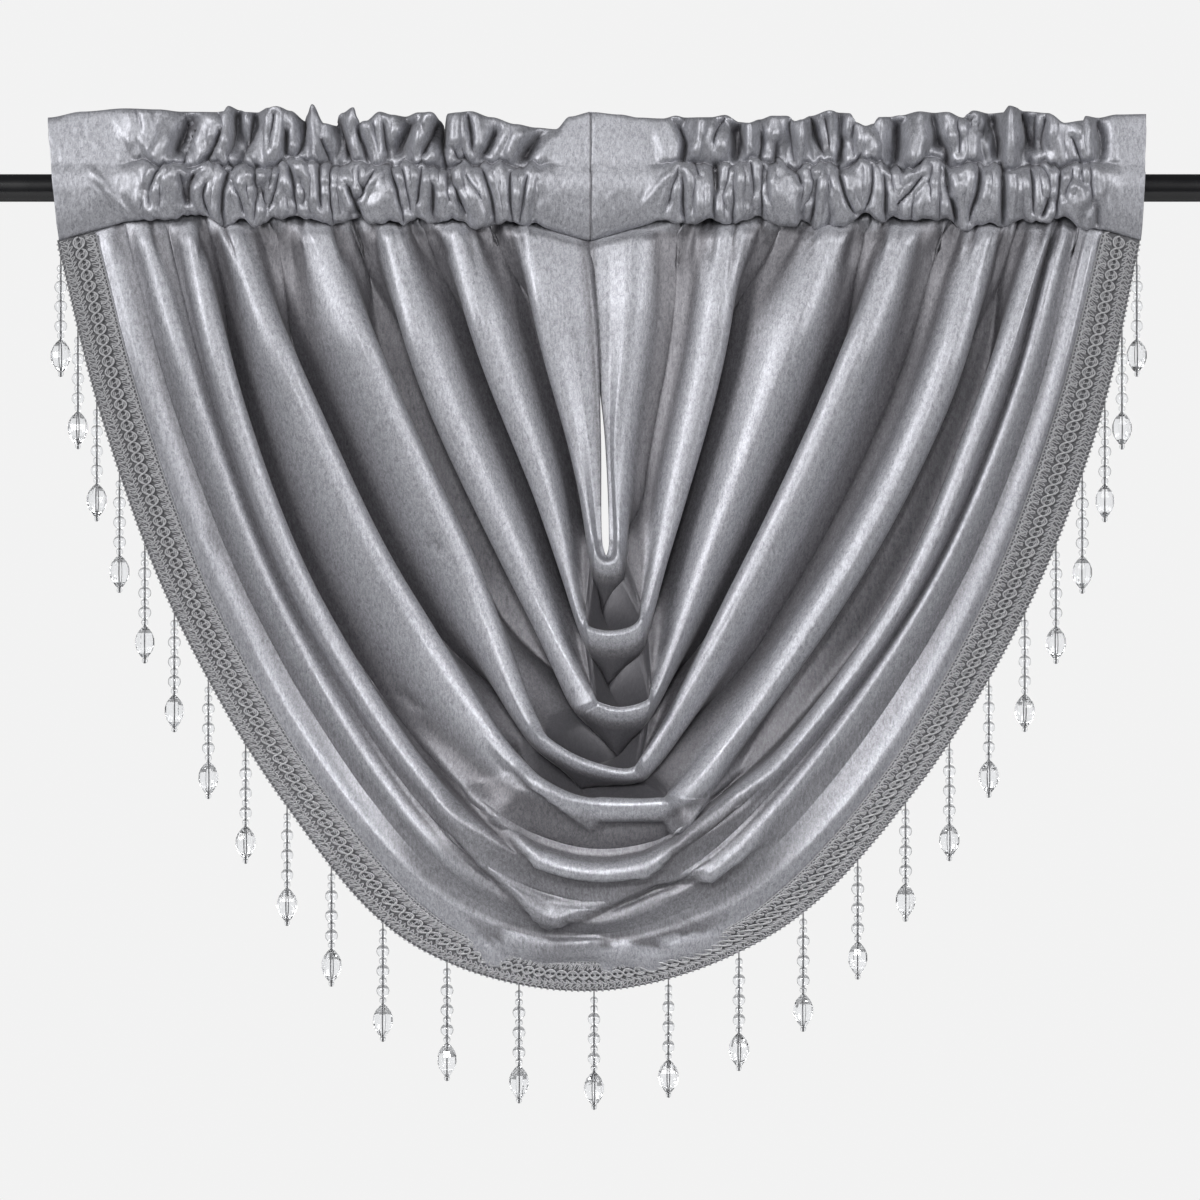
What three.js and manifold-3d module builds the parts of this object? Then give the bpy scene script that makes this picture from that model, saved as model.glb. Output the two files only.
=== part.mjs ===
// Waterfall valance hanging from a round curtain rod.
// Millimetres, +Z up, the front faces -Y, the origin is the middle of the rod's axis.
import * as THREE from 'three';
import { mergeVertices } from 'three/addons/utils/BufferGeometryUtils.js';
import Module from 'manifold-3d';

// Size of one drawing unit. All tables below are in drawing units: x to the right of
// the middle, drop downwards from the rod's axis. Forward distances are in millimetres.
const UNIT = 0.8;

// Rod
const ROD_RADIUS = 11;
const ROD_LENGTH = 1000;
const ROD_SIDES = 36;

// Cloth and trim thicknesses and the gap kept between pieces
const SWAG_THICKNESS = 1.6;
const BAND_THICKNESS = 1.5;
const RUFFLE_THICKNESS = 3;
const TRIM_GAP = 0.5;
const SEAM_GAP = 0.8;

// Heading bands: ends at the ruffle's top and at the seam, and the drop of the seam
const LEFT_BAND = { startTop: -549, startSeam: -537, endTop: -6.6, endSeam: -6.6 };
const RIGHT_BAND = { startTop: -5.2, startSeam: -5.2, endTop: 549, endSeam: 543 };
const SEAM_DROP = 33;
const SEAM_END_DROP = 52;
const SEAM_END_REACH = 66;
const LIP_HEIGHT = 6;
const LIP_BACK_OUT = 1.6;
const TUCK_HEIGHT = 3.4;
const TUCK_OUT = 0.2;
const STITCH_DROP = -23;
const RUFFLE_HALF_DROP = -50;

// Crest of every gather along the bands, with how far it stands out and how far its
// foot is pushed sideways.
const LEFT_GATHERS = [
  { x: -452, out: 5, slant: 4 }, { x: -437, out: 7, slant: 8 },
  { x: -423, out: 9, slant: -3 }, { x: -407, out: 6, slant: 6 },
  { x: -388, out: 8, slant: -6 }, { x: -367, out: 9, slant: 7 },
  { x: -345, out: 7, slant: 3 }, { x: -329, out: 9, slant: -5 },
  { x: -313, out: 6, slant: 4 }, { x: -300, out: 9, slant: -4 },
  { x: -289, out: 7, slant: 2 }, { x: -276, out: 8, slant: 5 },
  { x: -257, out: 9, slant: -6 }, { x: -234, out: 8, slant: 6 },
  { x: -211, out: 6, slant: -3 }, { x: -201, out: 9, slant: 4 },
  { x: -192, out: 6, slant: -2 }, { x: -179, out: 9, slant: 5 },
  { x: -164, out: 7, slant: -5 }, { x: -143, out: 8, slant: 6 },
  { x: -131, out: 9, slant: -3 }, { x: -110, out: 8, slant: -6 },
  { x: -95, out: 6, slant: 4 }, { x: -82, out: 9, slant: -4 },
  { x: -70, out: 5, slant: -6 },
];
const RIGHT_GATHERS = [
  { x: 83, out: 6, slant: 5 }, { x: 104, out: 9, slant: -5 },
  { x: 132, out: 7, slant: 4 }, { x: 147, out: 9, slant: -3 },
  { x: 160, out: 6, slant: 5 }, { x: 173, out: 8, slant: -4 },
  { x: 196, out: 9, slant: 6 }, { x: 215, out: 7, slant: -6 },
  { x: 231, out: 8, slant: 3 }, { x: 258, out: 9, slant: -5 },
  { x: 277, out: 6, slant: 4 }, { x: 295, out: 9, slant: -4 },
  { x: 317, out: 8, slant: 6 }, { x: 341, out: 9, slant: -6 },
  { x: 354, out: 6, slant: 2 }, { x: 370, out: 9, slant: 5 },
  { x: 392, out: 7, slant: -5 }, { x: 405, out: 9, slant: 3 },
  { x: 419, out: 6, slant: 4 }, { x: 435, out: 8, slant: -4 },
  { x: 451, out: 9, slant: 5 }, { x: 467, out: 7, slant: -5 },
  { x: 480, out: 8, slant: -3 }, { x: 494, out: 5, slant: -6 },
];

// Waves of the ruffle: place along the rod, forward reach and drop of the top edge
const RUFFLE_WAVES = [
  { x: -549, out: 0, drop: -70 }, { x: -500, out: 1, drop: -77 },
  { x: -457, out: 4, drop: -81 }, { x: -420, out: -5, drop: -76 },
  { x: -388, out: 8, drop: -75 }, { x: -368, out: 9, drop: -79 },
  { x: -350, out: -7, drop: -76 }, { x: -322, out: 8, drop: -80 },
  { x: -300, out: -6, drop: -69 }, { x: -284, out: 8, drop: -81 },
  { x: -266, out: -6, drop: -71 }, { x: -243, out: 9, drop: -78 },
  { x: -220, out: -8, drop: -66 }, { x: -195, out: 5, drop: -73 },
  { x: -172, out: -6, drop: -69 }, { x: -147, out: 8, drop: -74 },
  { x: -125, out: 6, drop: -76 }, { x: -100, out: -7, drop: -70 },
  { x: -77, out: 7, drop: -61 }, { x: -50, out: -4, drop: -68 },
  { x: -27, out: 3, drop: -75 }, { x: -6, out: 0, drop: -76 },
  { x: 30, out: 2, drop: -76 }, { x: 62, out: 4, drop: -70 },
  { x: 92, out: -6, drop: -74 }, { x: 118, out: 8, drop: -68 },
  { x: 142, out: -7, drop: -73 }, { x: 168, out: 7, drop: -77 },
  { x: 190, out: -6, drop: -70 }, { x: 214, out: 9, drop: -75 },
  { x: 238, out: -7, drop: -68 }, { x: 262, out: 8, drop: -74 },
  { x: 290, out: -6, drop: -66 }, { x: 316, out: 8, drop: -75 },
  { x: 340, out: -7, drop: -70 }, { x: 366, out: 8, drop: -76 },
  { x: 392, out: -6, drop: -71 }, { x: 416, out: 7, drop: -77 },
  { x: 440, out: -6, drop: -72 }, { x: 466, out: 5, drop: -76 },
  { x: 500, out: -2, drop: -78 }, { x: 549, out: 0, drop: -75 },
];

// Fold lines of the swag from the slit's edge out to the hem. Each runs down the left
// side, round the bottom and up the right side. Columns of a side: x at the seam, one
// third and two thirds of the way down, x and drop of the corner and of the bowl. out is
// the forward reach and roll the rounding of the crest, at the seam, side and bottom.
const FOLD_LINES = [
  { name: 'slit edge', left: [-7, -2, 3, 5, 352, 7, 363], tip: [9, 368],
    right: [-5, 3, 9, 12, 352, 11, 363], out: [7, 14, 24], roll: [1, 1, 1] },
  { name: 'first', left: [-69, -47, -22, -4, 354, 1, 371], tip: [10, 375],
    right: [34, 29, 18, 21, 354, 19, 371], out: [13, 21, 36], roll: [8, 11, 3] },
  { name: 'second', left: [-145, -102, -51, -13, 438, -5, 444], tip: [15, 447],
    right: [133, 113, 82, 48, 424, 39, 440], out: [13, 25, 48], roll: [9, 12.5, 3.5] },
  { name: 'third', left: [-209, -162, -89, -4, 512, 5, 518], tip: [24, 522],
    right: [238, 178, 118, 55, 509, 48, 516], out: [14, 28, 59], roll: [9, 13, 3.5] },
  { name: 'fourth', left: [-282, -216, -140, -66, 534, -41, 558], tip: [-7, 575],
    right: [308, 239, 152, 43, 574, 30, 582], out: [14, 29, 67], roll: [9, 13.5, 4] },
  { name: 'fifth', left: [-372, -296, -208, -79, 578, -41, 603], tip: [-10, 611],
    right: [391, 330, 228, 78, 608, 60, 612], out: [14, 29, 70], roll: [9, 14, 4] },
  { name: 'sixth', left: [-409, -364, -288, -157, 607, -87, 657], tip: [3, 682],
    right: [451, 388, 301, 143, 612, 63, 667], out: [13, 27, 64], roll: [9, 13, 7] },
  { name: 'seventh', left: [-455, -395, -317, -197, 612, -117, 692], tip: [-7, 730],
    right: [465, 414, 329, 193, 597, 93, 694], out: [11, 23, 53], roll: [8, 11, 8] },
  { name: 'hem rise', left: [-489, -440, -364, -245, 612, -137, 717], tip: [-7, 752],
    right: [498, 449, 372, 249, 612, 128, 717], out: [8, 16, 43], roll: [4, 6, 6] },
  { name: 'trim inside', left: [-501, -449, -377, -262, 612, -139, 738], tip: [-7, 769],
    right: [505, 454, 381, 263, 612, 128, 736], out: [4.4, 12, 36], roll: [1, 1, 1] },
  { name: 'hem edge', left: [-538, -489, -419, -309, 612, -180, 752], tip: [-5, 797],
    right: [541, 497, 424, 305, 612, 171, 742], out: [3.4, 10, 33], roll: [1, 1, 1] },
];

// Hollows between neighbouring fold lines. depth: at the seam, left side, bottom, right
// side. A tuck of 1 turns the cloth in under that crest and a tuck of 0 lets it slope
// away: left side, bottom, right side. behind: how far the bottom of the hollow drops
// behind the outer crest.
const HOLLOWS = [
  { steps: 2, depth: [0, 2, 4, 2], tuckInner: [0, 0, 0],
    tuckOuter: [0, 0, 0], behind: 0 },
  { steps: 8, depth: [14, 24, 30, 22], tuckInner: [1, 0, 0.2],
    tuckOuter: [0.2, 1, 0.3], behind: 8 },
  { steps: 8, depth: [15, 28, 34, 30], tuckInner: [1, 0, 1],
    tuckOuter: [0.1, 1, 0], behind: 9 },
  { steps: 8, depth: [15, 30, 34, 31], tuckInner: [1, 0, 0],
    tuckOuter: [1, 1, 1], behind: 9 },
  { steps: 8, depth: [15, 32, 26, 32], tuckInner: [0, 0, 0.2],
    tuckOuter: [1, 1, 0.4], behind: 6 },
  { steps: 7, depth: [14, 28, 15, 28], tuckInner: [0, 0, 1],
    tuckOuter: [1, 0.5, 1], behind: 0 },
  { steps: 4, depth: [10, 14, 11, 15], tuckInner: [0.3, 0.2, 0.1],
    tuckOuter: [0.2, 0.4, 0.7], behind: 0 },
  { steps: 4, depth: [9, 14, 8, 12], tuckInner: [0, 0, 0],
    tuckOuter: [0.1, 0, 0.1], behind: 0 },
  { steps: 1, depth: [0, 0, 0, 0], tuckInner: [0, 0, 0],
    tuckOuter: [0, 0, 0], behind: 0 },
  { steps: 1, depth: [0, 0, 0, 0], tuckInner: [0, 0, 0],
    tuckOuter: [0, 0, 0], behind: 0 },
];
const SEAM_TUCK = 0.2;
const FLOOR_SHARE = 0.75;
const FOLD_SPOTS = [0, 1.6, 2.7, 3.9, 5, 6.1, 7.3, 8.4];
const MINOR_RISE = { hollow: 5, out: 9, middle: 0.46, width: 0.16 };

// Stations along the fold lines, 0 at the left seam, 5 at the tip, 10 at the right seam
const SIDE_STATIONS = [0, 0.16, 0.42, 0.78, 1.14, 1.5, 1.86, 2.2];
const BOWL_FROM = 2.55;
const BOWL_STEPS = 17;
const TIP_STATION = 5;
const SEAM_BLOOM = 0.26;
const SEAM_FADE = 1.1;
const BOWL_START = 2.1;
const BOWL_FULL = 3.6;

// Braid trim on the front of the hem and its bead drops
const TRIM_EDGE_THICKNESS = 2;
const TRIM_CORD_THICKNESS = 3.4;
const TRIM_OVERHANG = 1.07;
const TRIM_SECTION = [
  { across: 0.02, thick: TRIM_EDGE_THICKNESS },
  { across: 0.2, thick: TRIM_EDGE_THICKNESS },
  { across: 0.36, thick: TRIM_CORD_THICKNESS },
  { across: 0.6, thick: TRIM_EDGE_THICKNESS },
  { across: TRIM_OVERHANG, thick: TRIM_EDGE_THICKNESS },
];
const DROP_COUNT = 27;
const DROP_PITCH = 59.7;
const DROP_SIDES = 4;
const DROP_ROOT = 3;
const DROP_ACROSS = 1.06;
const THREAD_RADIUS = 0.9;
// Strung beads of one drop from the top: distance below the hem edge and radius there,
// with the waist between the two small beads
const THREAD_LENGTH = 4.3;
const BEADS = [
  { down: 7.4, radius: 3.3 }, { down: 10.6, radius: 1.4 }, { down: 13.8, radius: 3.3 },
  { down: 22.1, radius: 5.5 }, { down: 29.9, radius: 2.9 }, { down: 37.7, radius: 5.5 },
  { down: 45.6, radius: 2.9 }, { down: 53.4, radius: 5.5 }, { down: 61.1, radius: 2.9 },
];
const OVAL_BEAD = { top: 64.1, shoulder: 71.5, waist: 81.5, foot: 89.2, radius: 8.2 };
const STOP_BEAD = { down: 91.8, half: 2.2, radius: 2.4 };

const ease = (value) => {
  const t = Math.min(1, Math.max(0, value));
  return t * t * (3 - 2 * t);
};

const mix = (a, b, t) => a + (b - a) * t;

// Drop of the seam under the heading, lower towards the four band ends
function seamDrop(x) {
  const fromEnd = Math.min(Math.abs(x - LEFT_BAND.startSeam), Math.abs(x - LEFT_BAND.endSeam),
    Math.abs(x - RIGHT_BAND.startSeam), Math.abs(RIGHT_BAND.endSeam - x));
  return mix(SEAM_END_DROP, SEAM_DROP, Math.min(1, fromEnd / SEAM_END_REACH));
}

// Smooth line through the named points of one fold line
function foldCurve(line) {
  const seamPoint = (x) => ({ x, drop: seamDrop(x) + SEAM_GAP / UNIT });
  const side = (row) => {
    const [seamX, third, twoThirds, cornerX, cornerDrop, bowlX, bowlDrop] = row;
    const top = seamPoint(seamX);
    return [
      top,
      { x: third, drop: mix(top.drop, cornerDrop, 1 / 3) },
      { x: twoThirds, drop: mix(top.drop, cornerDrop, 2 / 3) },
      { x: cornerX, drop: cornerDrop },
      { x: bowlX, drop: bowlDrop },
    ];
  };
  const [tipX, tipDrop] = line.tip;
  const points = [...side(line.left), { x: tipX, drop: tipDrop }, ...side(line.right).reverse()];
  const flat = points.map((p) => new THREE.Vector3(p.x * UNIT, 0, -p.drop * UNIT));
  return new THREE.CatmullRomCurve3(flat, false, 'centripetal');
}

// Blend of the values at the seam, on the side and at the bottom for one station
function alongFold(station, atSeam, onSide, atBottom) {
  const fromSeam = TIP_STATION - Math.abs(station - TIP_STATION);
  const bloomed = atSeam * ease(fromSeam / SEAM_BLOOM);
  const upper = mix(bloomed, onSide, ease(fromSeam / SEAM_FADE));
  return mix(upper, atBottom, ease((fromSeam - BOWL_START) / (BOWL_FULL - BOWL_START)));
}

const curves = FOLD_LINES.map(foldCurve);

function crestPoint(index, station) {
  const point = curves[index].getPoint(station / (2 * TIP_STATION));
  const [seamOut, sideOut, bottomOut] = FOLD_LINES[index].out;
  point.y = -TUCK_OUT - alongFold(station, seamOut, sideOut, bottomOut);
  return point;
}

// Section of one hollow from the inner crest to the outer one, as distances and dips
function hollowKnots(gap, rolls, depth, tucks, behind, low) {
  const floors = [
    mix(0.5 * gap, FLOOR_SHARE * rolls[0], tucks[0]),
    mix(0.5 * gap, FLOOR_SHARE * rolls[1] - behind, tucks[1]),
  ];
  const side = (own, other) => {
    const roll = rolls[own];
    const reach = gap - floors[other];
    const soft = [
      [0.2 * reach, (0.1 + 0.14 * low) * depth],
      [0.45 * reach, (0.38 + 0.22 * low) * depth],
      [0.7 * reach, (0.7 + 0.12 * low) * depth],
      [0.92 * reach, 0.95 * depth],
    ];
    const crisp = [
      [0.57 * roll, 0.17 * roll],
      [0.97 * roll, Math.min(0.7 * roll, 0.45 * depth)],
      [0.8 * roll, Math.min(1.35 * roll, 0.75 * depth)],
      [floors[own], 0.97 * depth],
    ];
    return soft.map(([away, dip], i) => [
      mix(away, crisp[i][0], tucks[own]), mix(dip, crisp[i][1], tucks[own])]);
  };
  const inner = side(0, 1);
  const outer = side(1, 0).map(([away, dip]) => [gap - away, dip]).reverse();
  const middle = [(inner[3][0] + outer[0][0]) / 2, depth];
  return [[0, 0], ...inner, middle, ...outer, [gap, 0]];
}

// Smooth value between the knots of a section; spot counts the knots, part 0 is the
// distance and part 1 the dip
function knotValue(knots, spot, part) {
  const first = Math.min(Math.floor(spot), knots.length - 2);
  const share = spot - first;
  const [a, b, c, d] = [-1, 0, 1, 2].map(
    (k) => knots[Math.min(knots.length - 1, Math.max(0, first + k))][part]);
  const curve = 2 * a - 5 * b + 4 * c - d + share * (3 * (b - c) + d - a);
  return b + 0.5 * share * (c - a + share * curve);
}

// Row of the swag's middle surface across one hollow, without the outer crest's point
function hollowRow(hollowIndex, station) {
  const hollow = HOLLOWS[hollowIndex];
  const inner = crestPoint(hollowIndex, station);
  const outer = crestPoint(hollowIndex + 1, station);
  const onLeft = station < TIP_STATION;
  const gap = Math.max(0.5, Math.hypot(outer.x - inner.x, outer.z - inner.z));
  const depth = alongFold(station, hollow.depth[0], hollow.depth[onLeft ? 1 : 3], hollow.depth[2]);
  const tucks = [hollow.tuckInner, hollow.tuckOuter].map(
    (tuck) => alongFold(station, SEAM_TUCK, tuck[onLeft ? 0 : 2], tuck[1]));
  const rolls = [hollowIndex, hollowIndex + 1].map(
    (k) => Math.min(alongFold(station, ...FOLD_LINES[k].roll), 0.32 * gap));
  const low = alongFold(station, 0, 0, 1);
  const knots = hollowKnots(gap, rolls, depth, tucks, hollow.behind * low, low);
  const even = (knots.length - 1) / hollow.steps;
  return Array.from({ length: hollow.steps }, (_, i) => {
    const spot = hollow.steps === FOLD_SPOTS.length ? FOLD_SPOTS[i] : i * even;
    const across = knotValue(knots, spot, 0) / gap;
    const point = inner.clone().lerp(outer, across);
    point.y += knotValue(knots, spot, 1);
    if (hollowIndex === MINOR_RISE.hollow) {
      const away = (across - MINOR_RISE.middle) / MINOR_RISE.width;
      point.y -= alongFold(station, 0, 0, MINOR_RISE.out) * Math.exp(-away * away);
    }
    return point;
  });
}

function swagStations() {
  const bowlLength = 2 * (TIP_STATION - BOWL_FROM);
  const bowl = Array.from({ length: BOWL_STEPS + 1 },
    (_, i) => BOWL_FROM + (bowlLength * i) / BOWL_STEPS);
  const rightSide = SIDE_STATIONS.map((station) => 2 * TIP_STATION - station).reverse();
  return [...SIDE_STATIONS, ...bowl, ...rightSide];
}

// Point grid of the whole swag, with a row at each end tucked up behind the heading's lip
function swagGrid() {
  const rows = swagStations().map((station) => {
    const row = HOLLOWS.flatMap((_, index) => hollowRow(index, station));
    row.push(crestPoint(HOLLOWS.length, station));
    return row;
  });
  const tucked = (row) => row.map((p) => new THREE.Vector3(p.x, p.y, p.z + TUCK_HEIGHT));
  return [tucked(rows[0]), ...rows, tucked(rows[rows.length - 1])];
}

// Unit normals of a point grid, pointing to the front
function gridNormals(grid) {
  const lastRow = grid.length - 1;
  const lastColumn = grid[0].length - 1;
  return grid.map((row, r) => row.map((_, c) => {
    const along = grid[Math.min(r + 1, lastRow)][c].clone().sub(grid[Math.max(r - 1, 0)][c]);
    const across = row[Math.min(c + 1, lastColumn)].clone().sub(row[Math.max(c - 1, 0)]);
    return across.cross(along).normalize();
  }));
}

function solidGeometry(vertices, triangles) {
  const geometry = new THREE.BufferGeometry();
  const flat = vertices.flatMap((v) => [v.x, v.y, v.z]);
  geometry.setAttribute('position', new THREE.Float32BufferAttribute(flat, 3));
  geometry.setIndex(triangles);
  geometry.computeVertexNormals();
  return geometry;
}

// Closed sheet of even thickness on both sides of a point grid
function sheetGeometry(grid, normals, frontOffset, backOffset) {
  const rows = grid.length;
  const columns = grid[0].length;
  const offsetPoint = (r, c, offset) => grid[r][c].clone().addScaledVector(normals[r][c], offset);
  const vertices = [];
  [frontOffset, backOffset].forEach((offset) => {
    for (let r = 0; r < rows; r += 1) {
      for (let c = 0; c < columns; c += 1) vertices.push(offsetPoint(r, c, offset));
    }
  });
  const front = (r, c) => r * columns + c;
  const back = (r, c) => rows * columns + r * columns + c;
  const triangles = [];
  const quad = (a, b, c, d) => triangles.push(a, b, c, a, c, d);
  for (let r = 0; r + 1 < rows; r += 1) {
    for (let c = 0; c + 1 < columns; c += 1) {
      quad(front(r, c), front(r, c + 1), front(r + 1, c + 1), front(r + 1, c));
      quad(back(r, c), back(r + 1, c), back(r + 1, c + 1), back(r, c + 1));
    }
    quad(front(r, 0), front(r + 1, 0), back(r + 1, 0), back(r, 0));
    const end = columns - 1;
    quad(front(r, end), back(r, end), back(r + 1, end), front(r + 1, end));
  }
  for (let c = 0; c + 1 < columns; c += 1) {
    quad(front(0, c), back(0, c), back(0, c + 1), front(0, c + 1));
    const end = rows - 1;
    quad(front(end, c), front(end, c + 1), back(end, c + 1), back(end, c));
  }
  return solidGeometry(vertices, triangles);
}

// Value of a column in a table sorted by x, eased between its rows
function tableValue(table, column, x) {
  const last = table.length - 1;
  if (x <= table[0].x) return table[0][column];
  if (x >= table[last].x) return table[last][column];
  const next = table.findIndex((row) => row.x > x);
  const before = table[next - 1];
  return mix(before[column], table[next][column], ease((x - before.x) / (table[next].x - before.x)));
}

// Stations of a band: its ends, flat parts, gather crests and the creases between them
function bandStations(band, gathers) {
  const first = gathers[0].x;
  const last = gathers[gathers.length - 1].x;
  const flat = (from, to, count) => Array.from({ length: count },
    (_, i) => ({ x: mix(from, to, (i + 0.5) / count), out: 0, slant: 0 }));
  const list = [{ x: band.startTop, out: 0, slant: 0 }, ...flat(band.startTop, first, 4)];
  gathers.forEach((gather, i) => {
    if (i > 0) {
      const before = gathers[i - 1];
      list.push({ x: (before.x + gather.x) / 2, out: 0, slant: (before.slant + gather.slant) / 2 });
    }
    list.push(gather);
  });
  list.push(...flat(last, band.endTop, 4), { x: band.endTop, out: 0, slant: 0 });
  return list;
}

// Section of a heading band: the ruffle standing on a pocket round the rod
const POCKET = {
  clearRadius: ROD_RADIUS + 1,
  wallTop: 15.3,
  frontAngles: [36, 2, -36],
  backAngles: [216, 180, 144],
  frontShare: [0.95, 1.2, 1.15],
  backShare: [0.4, 0.35, 0.25],
  stitchShare: 0.2,
  ruffleShare: 0.3,
  lipShare: 0.55,
  floorBack: -2.2,
};

function bandSection(band, gather) {
  const span = (gather.x - band.startTop) / (band.endTop - band.startTop);
  const seamX = mix(band.startSeam, band.endSeam, span);
  const ruffle = tableValue(RUFFLE_WAVES, 'out', gather.x);
  const topDrop = tableValue(RUFFLE_WAVES, 'drop', gather.x);
  const bottomDrop = seamDrop(seamX);
  const place = (drop, out) => {
    const down = (drop - topDrop) / (bottomDrop - topDrop);
    const slanted = mix(gather.x, seamX, down) + gather.slant * ease((drop - STITCH_DROP) / 40);
    return new THREE.Vector3(slanted * UNIT, -out, -drop * UNIT);
  };
  const radial = (angle, radius, push) => {
    const turn = THREE.MathUtils.degToRad(angle);
    return place((-radius * Math.sin(turn)) / UNIT, radius * Math.cos(turn) + push);
  };
  const half = RUFFLE_THICKNESS / 2;
  const outerRadius = POCKET.clearRadius + BAND_THICKNESS;
  const front = POCKET.frontShare.map((share) => share * gather.out);
  const back = POCKET.backShare.map((share) => -share * gather.out);
  const lipFront = LIP_BACK_OUT + BAND_THICKNESS + POCKET.lipShare * gather.out;
  const floorDrop = bottomDrop - LIP_HEIGHT;
  const ruffleAt = (share, gathered, side) => ruffle * share + gather.out * gathered + side * half;
  const { stitchShare, ruffleShare } = POCKET;
  const outer = [
    place(topDrop, ruffleAt(1, 0, 1)),
    place(RUFFLE_HALF_DROP, ruffleAt(0.6, ruffleShare, 1)),
    place(STITCH_DROP, ruffleAt(0.12, stitchShare, 1)),
    ...POCKET.frontAngles.map((angle, i) => radial(angle, outerRadius, front[i])),
    place(bottomDrop, lipFront),
    place(bottomDrop, LIP_BACK_OUT),
    place(floorDrop, LIP_BACK_OUT),
    place(floorDrop, POCKET.floorBack),
    ...POCKET.backAngles.map((angle, i) => radial(angle, outerRadius, back[i])),
    place(STITCH_DROP, ruffleAt(0.12, stitchShare, -1)),
    place(RUFFLE_HALF_DROP, ruffleAt(0.6, ruffleShare, -1)),
    place(topDrop, ruffleAt(1, 0, -1)),
  ];
  const inner = [
    place(-POCKET.wallTop / UNIT, 0),
    ...POCKET.frontAngles.map((angle, i) => radial(angle, POCKET.clearRadius, front[i])),
    place(floorDrop - 3, 0),
    ...POCKET.backAngles.map((angle, i) => radial(angle, POCKET.clearRadius, back[i])),
  ];
  return { outer, inner };
}

// Hollow body along the rod through a list of sections
function sweptGeometry(sections) {
  const outerCount = sections[0].outer.length;
  const innerCount = sections[0].inner.length;
  const stride = outerCount + innerCount;
  const vertices = sections.flatMap((section) => [...section.outer, ...section.inner]);
  const triangles = [];
  const loop = (s, start, count, flip) => {
    for (let i = 0; i < count; i += 1) {
      const next = (i + 1) % count;
      const a = s * stride + start + i;
      const b = s * stride + start + next;
      const c = (s + 1) * stride + start + next;
      const d = (s + 1) * stride + start + i;
      if (flip) triangles.push(a, c, b, a, d, c);
      else triangles.push(a, b, c, a, c, d);
    }
  };
  for (let s = 0; s + 1 < sections.length; s += 1) {
    loop(s, 0, outerCount, false);
    loop(s, outerCount, innerCount, true);
  }
  const flatten = (points) => points.map((p) => new THREE.Vector2(p.y, p.z));
  const lastSection = sections.length - 1;
  [0, lastSection].forEach((s) => {
    const faces = THREE.ShapeUtils.triangulateShape(flatten(sections[s].outer),
      [flatten(sections[s].inner)]);
    faces.forEach(([a, b, c]) => {
      const base = s * stride;
      if (s === 0) triangles.push(base + a, base + c, base + b);
      else triangles.push(base + a, base + b, base + c);
    });
  });
  return solidGeometry(vertices, triangles);
}

function bandGeometry(band, gathers) {
  return sweptGeometry(bandStations(band, gathers).map((gather) => bandSection(band, gather)));
}

// One bead drop hanging straight down below its point on the hem edge
function dropGeometry(point) {
  const rings = [
    { down: -DROP_ROOT, radius: THREAD_RADIUS },
    { down: THREAD_LENGTH, radius: THREAD_RADIUS },
  ];
  BEADS.forEach((bead) => rings.push({ down: bead.down, radius: bead.radius }));
  rings.push({ down: OVAL_BEAD.top, radius: THREAD_RADIUS });
  rings.push({ down: OVAL_BEAD.shoulder, radius: OVAL_BEAD.radius });
  rings.push({ down: OVAL_BEAD.waist, radius: OVAL_BEAD.radius });
  rings.push({ down: OVAL_BEAD.foot, radius: THREAD_RADIUS });
  rings.push({ down: STOP_BEAD.down, radius: STOP_BEAD.radius });
  rings.push({ down: STOP_BEAD.down + STOP_BEAD.half, radius: THREAD_RADIUS });
  const vertices = rings.flatMap((ring) => Array.from({ length: DROP_SIDES }, (_, i) => {
    const turn = (2 * Math.PI * i) / DROP_SIDES;
    return new THREE.Vector3(point.x + ring.radius * Math.cos(turn),
      point.y + ring.radius * Math.sin(turn), point.z - ring.down);
  }));
  const triangles = [];
  for (let r = 0; r + 1 < rings.length; r += 1) {
    for (let i = 0; i < DROP_SIDES; i += 1) {
      const a = r * DROP_SIDES + i;
      const b = r * DROP_SIDES + ((i + 1) % DROP_SIDES);
      triangles.push(a, a + DROP_SIDES, b, b, a + DROP_SIDES, b + DROP_SIDES);
    }
  }
  const foot = (rings.length - 1) * DROP_SIDES;
  for (let i = 1; i + 1 < DROP_SIDES; i += 1) {
    triangles.push(0, i, i + 1);
    triangles.push(foot, foot + i + 1, foot + i);
  }
  return solidGeometry(vertices, triangles);
}

// Forward normals of the straight band of cloth that the trim lies on
function hemNormals(grid) {
  const last = grid[0].length - 1;
  return grid.map((row, r) => {
    const after = grid[Math.min(r + 1, grid.length - 1)];
    const before = grid[Math.max(r - 1, 0)];
    const along = after[last].clone().add(after[last - 1]).sub(before[last]).sub(before[last - 1]);
    return row[last].clone().sub(row[last - 1]).cross(along).normalize();
  });
}

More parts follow.
